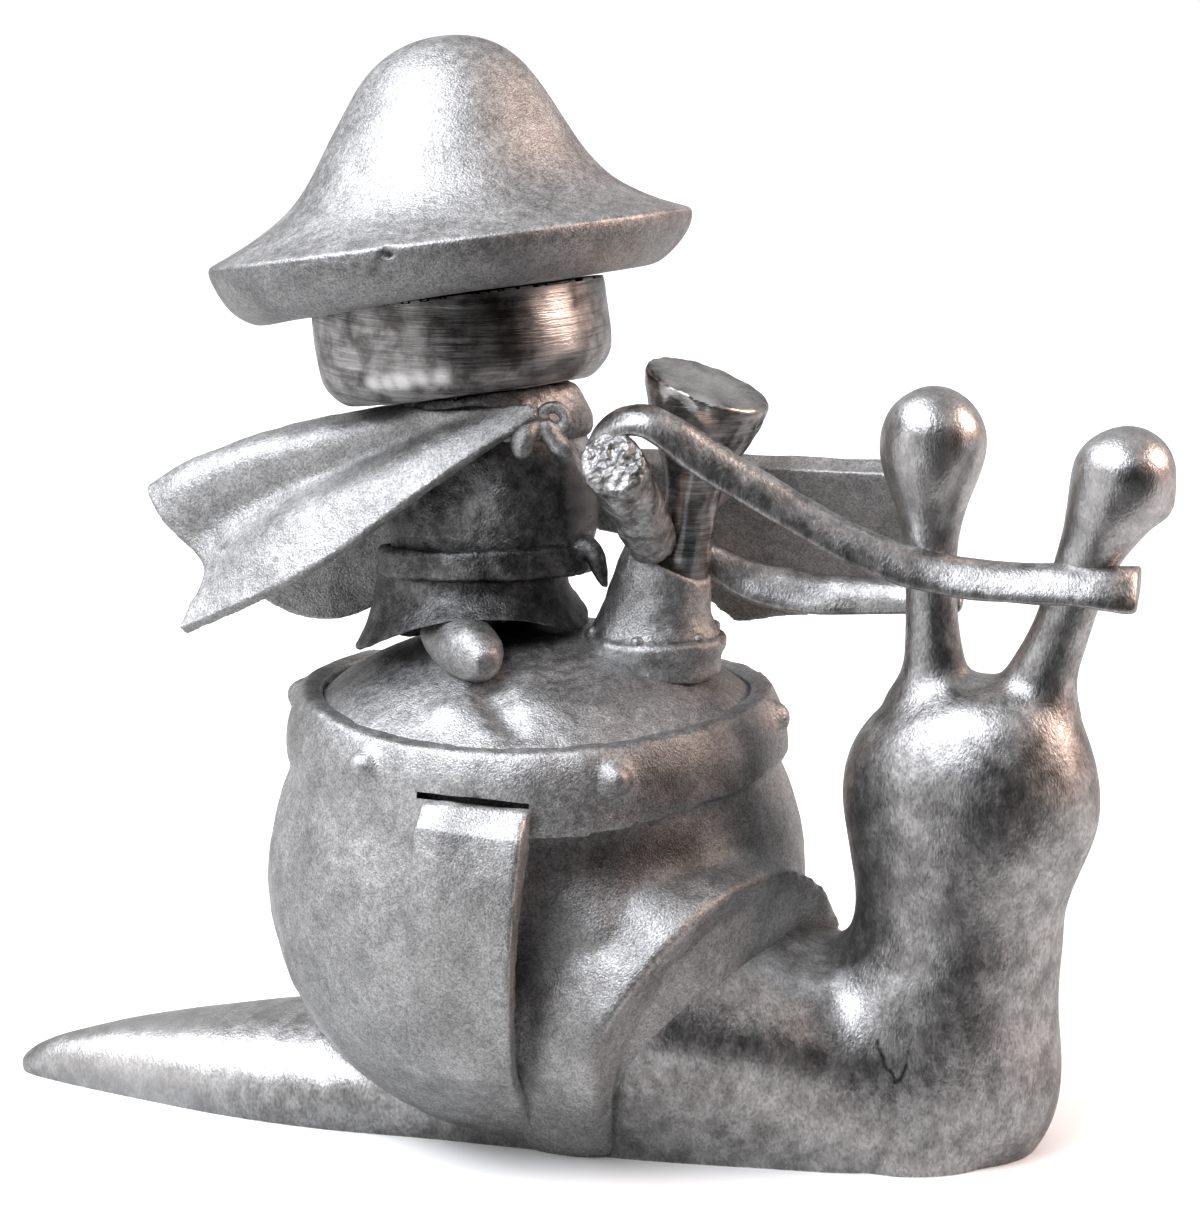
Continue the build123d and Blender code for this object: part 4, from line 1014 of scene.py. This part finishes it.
# %% Cape
cape_lines = [
    [(1.5, -5.3, 48.4), (-2.5, -7.0, 45.8), (-6.5, -8.4, 42.9), (-10.3, -9.0, 39.8), (-14.0, -9.0, 37.5),
     (-18.4, -8.7, 35.2), (-21.8, -8.2, 33.6)],
    [(1.4, -5.2, 48.9), (-3.2, -6.6, 46.3), (-7.4, -7.5, 43.9), (-11.1, -7.9, 41.5), (-14.7, -7.8, 39.5),
     (-18.5, -7.4, 37.0), (-21.6, -6.9, 35.0)],
    [(1.2, -5.0, 49.2), (-4.1, -6.2, 47.2), (-8.4, -6.7, 44.9), (-11.7, -6.7, 43.2), (-15.0, -6.5, 41.4),
     (-17.8, -6.2, 39.2), (-20.4, -5.6, 37.0)],
    [(-3.4, -5.2, 48.8), (-7.0, -4.2, 46.5), (-10.5, -3.2, 44.4), (-13.8, -2.3, 42.8), (-17.0, -1.9, 41.3),
     (-20.2, -2.0, 39.6), (-22.9, -2.6, 37.95)],
    [(-7.3, -4.6, 48.2), (-10.3, -4.0, 47.0), (-12.9, -3.8, 46.3), (-15.9, -3.7, 45.5), (-19.3, -3.6, 44.4),
     (-22.7, -3.5, 42.5), (-25.1, -3.2, 40.2)],
    [(-9.4, 0.2, 47.4), (-12.6, 0.1, 47.0), (-15.2, 0.0, 46.6), (-18.2, -0.1, 45.8), (-21.9, -0.4, 44.6),
     (-25.0, -0.6, 43.2), (-27.0, -0.8, 42.1)],
    [(-7.6, 4.4, 47.2), (-10.4, 3.6, 46.4), (-13.0, 3.4, 45.5), (-16.0, 3.2, 44.5), (-19.5, 2.8, 43.1),
     (-22.8, 2.0, 41.7), (-25.0, 1.2, 40.3)],
    [(-3.6, 6.2, 47.0), (-7.0, 6.5, 43.8), (-10.4, 6.7, 40.8), (-13.6, 6.7, 38.8), (-17.0, 6.1, 37.7),
     (-20.0, 5.1, 37.2), (-22.3, 3.9, 36.7)],
    [(0.2, 5.8, 46.4), (-4.8, 7.8, 41.0), (-8.6, 8.1, 36.4), (-12.4, 7.1, 32.7), (-16.2, 6.1, 31.4),
     (-19.0, 5.5, 32.0), (-21.2, 5.1, 33.8)],
]
cape = pulled_grid("cape", cape_lines)
apply_modifier(cape, "SUBSURF", levels=3, boundary_smooth="PRESERVE_CORNERS")
edit(cape)
bpy.ops.mesh.normals_make_consistent()
object_mode()
apply_modifier(cape, "SOLIDIFY", thickness=0.9 * MM, offset=0, use_even_offset=True)
melt(cape, 0.16, 2)
unevenness(cape, 2.5, 0.25)
# Painted shade along the crease of the cape
cape_crease = cape_lines[3][1:]
stain_and_shade(cape, (0.4, cape_crease, 2.6))
finish_piece(cape, sand_cast, "cast_aluminium", "snail", "rider_cape")

# %% [markdown]
# ## Skirt, belt and boots
# The skirt is a bell with a flared hem that arches up over the boots. Its rings go down the outside, round
# the hem and up the inside to the seat. The lift of each hem point is read off its place from back to front.
# A small hook hangs from the belt, and each boot is one skin that lies out to its side.

# %% Skirt, belt and boots
skirt_centre = (-4.3, -0.5)
hem_lowest, skirt_top = 31.4, 37.4
hem_heights = [
    (-1.0, 31.7), (-0.75, 32.6), (-0.35, 34.3), (0.15, 35.4), (0.65, 35.2), (0.92, 34.2), (1.0, 33.6),
]


def arch_hem(point, number):
    """Raise the hem where it crosses the rider's legs."""
    reach = Vector((point.x - skirt_centre[0], point.y - skirt_centre[1]))
    if reach.length < 5 or point.z > skirt_top:
        return point
    lift = (skirt_top - blend(reach.x / reach.length, hem_heights)) / (skirt_top - hem_lowest)
    return Vector((point.x, point.y, skirt_top - (skirt_top - point.z) * lift))


skirt_profile = [
    (4.0, 37.9), (6.2, 37.8), (6.35, 37.2), (6.4, 35.8), (6.7, 34.2), (7.2, 32.7), (7.75, 31.7),
    (7.8, 31.4), (7.45, 31.35), (6.8, 32.4), (6.2, 34.2), (5.9, 35.6), (5.6, 35.2), (5.4, 31.4),
]
skirt_rings = [((*skirt_centre, z), 0, r, r * 0.97) for r, z in skirt_profile]
skirt = skin_rings("skirt", skirt_rings, sides=40, reshape=arch_hem)
unevenness(skirt, 2.0, 0.25)
# Painted shade: the skirt is darkened all over and takes the darker finish, as it lies in the shade of the
# cape and hat
paint(skirt, "stain_and_shade", lambda place: 0.15)
finish_piece(skirt, shaded_cast, "cast_aluminium", "snail", "rider_skirt")

belt = copy_nodes("belt", "rider_belt")
hook_rings = [
    ((2.6, -1.6, 39.3), 100, 0.9, 0.9), ((4.0, -1.9, 39.3), 110, 0.85, 0.85),
    ((4.6, -2.0, 38.8), 150, 0.75, 0.75), ((4.75, -2.0, 37.9), 170, 0.55, 0.6),
    ((5.05, -2.0, 37.0), 150, 0.4, 0.45), ((5.3, -2.0, 36.7), 140, 0.2, 0.2),
]
join(belt, skin_rings("hook", hook_rings, sides=12))
melt(belt, 0.17, 4)
unevenness(belt, 1.6, 0.3)
# The belt takes the darker finish: painted shade under the hat and cape
finish_piece(belt, shaded_cast, "cast_aluminium", "snail", "rider_belt")

boot_profile = [
    (1.4, 0), (1.85, 1.0), (2.05, 3.0), (2.1, 5.0), (1.95, 6.4), (1.5, 7.7), (0.95, 8.5), (0.65, 8.7),
]
for name, node, side in (("near_boot", "boot_right", -1), ("far_boot", "boot_left", 1)):
    boot = skin_rings(name, [((0, 0, s), 0, r, r) for r, s in boot_profile], sides=20)
    place_in(boot, standing((-5.6, 3.5 * side, 33.8), (0.59, 0.805 * side, -0.07)))
    unevenness(boot, 1.5, 0.2)
    finish_piece(boot, sand_cast, "cast_aluminium", "snail", node)

# %% [markdown]
# ## Column
# A stepped flange carries a flared socket, and a post with a wide filed top stands in it. The socket's rim
# leans forward, and so does the top of the post, so their rings turn a little more with height.

# %% Column
flange_profile = [
    (3.0, 30.7), (4.6, 30.7), (4.45, 31.4), (4.4, 32.0), (4.7, 32.35), (4.85, 32.9), (4.75, 33.35),
    (4.35, 33.6), (3.0, 33.65),
]
flange_x = 7.95
flange = skin_rings("flange", [((flange_x, 0, z), 0, r, r) for r, z in flange_profile], sides=36)
unevenness(flange, 1.6, 0.25)
finish_piece(flange, sand_cast, "cast_aluminium", "snail", "column_flange")

flange_studs = melt(copy_nodes("flange_studs", "flange_rivets"), 0.09, 2)
finish_piece(flange_studs, sand_cast, "cast_aluminium", "snail", "flange_rivets")

socket_rings = [
    ((8.0, 0, 33.1), 0, 4.75, 4.5), ((8.0, 0, 33.9), 0, 4.1, 4.0), ((8.15, 0, 34.9), 4, 3.65, 3.6),
    ((8.4, 0, 36.1), 10, 3.4, 3.35), ((8.7, 0, 37.3), 20, 3.25, 3.15), ((8.95, 0, 38.15), 26, 3.15, 3.1),
    ((9.05, 0, 38.55), 27, 2.95, 2.9), ((9.05, 0, 38.5), 27, 2.6, 2.55), ((8.85, 0, 37.7), 22, 2.3, 2.3),
    ((8.7, 0, 36.6), 15, 2.1, 2.1),
]
socket = skin_rings("socket", socket_rings)
unevenness(socket, 1.6, 0.25)
finish_piece(socket, sand_cast, "cast_aluminium", "snail", "column_socket")

horn_profile = [
    (1.5, 0.0, 7.5), (1.75, 0.6, 7.5), (1.75, 3.0, 7.5), (1.7, 6.0, 7.5), (1.75, 8.6, 8.0),
    (2.1, 10.2, 9.0), (2.8, 11.8, 11.0), (3.5, 13.3, 14.0), (4.05, 14.8, 17.0), (4.25, 15.7, 19.0),
    (4.2, 16.05, 19.5), (3.9, 16.2, 19.5), (1.5, 16.25, 19.5),
]


def face_viewer(point, number):
    """Lower the near side of the post's top, which was filed at a slant."""
    return point + Vector((0, 0, 0.04 * point.y * blend(point.z, [(44.0, 0.0), (50.0, 1.0)])))


post_lean = math.radians(7.5)
post_x, post_z = 9.4, 34.2
horn_rings = [
    ((post_x + s * math.sin(post_lean), 0, post_z + s * math.cos(post_lean)), turn, r, r)
    for r, s, turn in horn_profile
]
horn = skin_rings("horn", horn_rings, reshape=face_viewer)
unevenness(horn, 1.2, 0.3)
wear_and_highlight(horn, [((11.5, 0.0, 50.3), 4.6, 0.35), ((12.0, -4.0, 49.4), 1.6, 0.7), ((9.5, -3.4, 50.2), 1.4, 0.6)])
finish_piece(horn, filed, "filed_aluminium", "snail", "horn_post")

# %% [markdown]
# ## Peg with a broken end
# The stub peg was snapped off, so its end is rough and grainy and faces the viewer at a slant. The peg is
# melted into many small faces, and stronger lumps throw those of its end up and down.

# %% Peg
peg_root, peg_end = Vector((8.7, -1.0, 38.6)), Vector((7.05, -7.9, 46.3))
peg_frame = standing(peg_root, peg_end - peg_root)
peg_length = (peg_end - peg_root).length
broken_face = toward_camera + (peg_end - peg_root).normalized()
break_way = (peg_frame.to_3x3().inverted() @ broken_face).normalized()


def slant_break(point, number):
    """Slant the broken end toward the viewer."""
    slant = -(break_way.x * point.x + break_way.y * point.y) / break_way.z
    share = blend(point.z, [(peg_length - 3.0, 0.0), (peg_length - 0.6, 1.0)])
    return point + Vector((0, 0, slant * share))


peg_profile = [
    (1.5, 9.5), (1.75, 8.0), (1.85, 5.0), (1.95, 2.2), (2.1, 0.7), (2.1, 0.2), (1.9, 0.0), (0.9, 0.0),
]
peg_rings = [((0, 0, peg_length - s), 0, r, r) for r, s in peg_profile]
peg = skin_rings("peg", peg_rings, sides=28, reshape=slant_break)
place_in(peg, peg_frame)
melt(peg, 0.12, 1)
unevenness(peg, 1.2, 0.3)
broken = mark(peg, lambda point: near_line(point, [peg_end], 3.2))
unevenness(peg, 0.8, 0.55, broken)
finish_piece(peg, broken_cast, "filed_aluminium", "snail", "rein_peg")

# %% [markdown]
# ## Reins
# The reins are cast bars, not cords: rounded bars that run from the column to the eye stalks. Squared rings
# along a line in space make them. The near one starts in a loop that is thrown over the peg.

# %% Reins
def bar(name, stations, thickness):
    """A rounded bar whose near face looks up a little. A station: X, Y, Z and half height."""
    rings = []
    for number, (x, y, z, half) in enumerate(stations):
        before = stations[max(0, number - 1)]
        after = stations[min(len(stations) - 1, number + 1)]
        slope = math.degrees(math.atan2(after[2] - before[2], after[0] - before[0]))
        rings.append(((x, y, z), 90 - slope, half, thickness))

    def face_up(point, number):
        return point + Vector((0, 0.6 * (point.z - stations[number][2]), 0))

    return skin_rings(name, rings, sides=16, square=0.25, reshape=face_up)


near_stations = [
    (5.3, -5.6, 46.2, 0.6), (5.8, -5.8, 47.5, 0.85), (7.0, -5.9, 48.5, 0.95), (8.5, -5.9, 48.75, 1.0),
    (10.0, -5.8, 48.2, 1.1), (12.2, -5.3, 46.45, 1.2), (16.0, -4.6, 44.1, 1.15), (19.8, -3.9, 41.8, 1.1),
    (22.75, -3.5, 40.3, 1.15), (25.2, -3.0, 39.35, 1.2), (28.4, -2.6, 38.65, 1.2), (32.9, -2.35, 38.5, 1.2),
    (36.5, -2.3, 38.55, 1.25), (38.4, -2.0, 38.35, 1.35), (39.6, -1.4, 38.2, 1.45),
    (39.95, -1.1, 38.2, 1.4), (40.05, -1.0, 38.2, 1.15),
]
far_stations = [
    (9.9, 1.7, 38.9, 0.6), (11.2, 2.1, 38.2, 0.9), (13.0, 2.4, 37.0, 1.15), (14.6, 2.5, 36.45, 1.3),
    (17.2, 2.5, 36.05, 1.3), (20.2, 2.5, 35.95, 1.2), (24.2, 2.3, 36.2, 1.0), (27.4, 1.7, 36.2, 0.85),
    (28.2, 1.4, 36.2, 0.6),
]
for name, node, stations, thickness in (
    ("near_rein", "rein_right", near_stations, 0.95),
    ("far_rein", "rein_left", far_stations, 0.75),
):
    rein = bar(name, stations, thickness)
    unevenness(rein, 2.0, 0.2)
    finish_piece(rein, satin_cast, "satin_aluminium", "snail", node)

# %% [markdown]
# ## Side board
# A flat board with a slanted edge stands behind the column on a short peg. Both copies are melted just
# enough to round their corners.

# %% Side board
for name, node, voxel in (("board", "side_board", 0.22), ("board_stub", "board_peg", 0.18)):
    piece = melt(copy_nodes(name, node), voxel, 2)
    unevenness(piece, 3.0, 0.2)
    finish_piece(piece, sand_cast, "cast_aluminium", "snail", node)

# %% [markdown]
# ## Hidden pins and screws
# The pins, the stud with its nut and the base screws keep their solids and take a turned steel finish.

# %% Hidden pins and screws
for node in ("rider_stud", "rider_nut", "neck_pin", "hat_pin", "base_screws"):
    steel_piece = frame["nodes"][node]
    steel_piece.data.materials.clear()
    steel_piece.data.materials.append(pin_steel)
    print("steel on", node)

# %% [markdown]
# ## Sizes
# The pieces should hardly outgrow the solids, so the size now is held against the size at the start, and
# how far each end grew is printed.

# %% Sizes and finish
object_mode()
low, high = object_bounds()
for end, growth in (("low", cad_low - low), ("high", high - cad_high)):
    print("grown mm at the", end, "end:", [round(c / MM, 2) for c in growth])
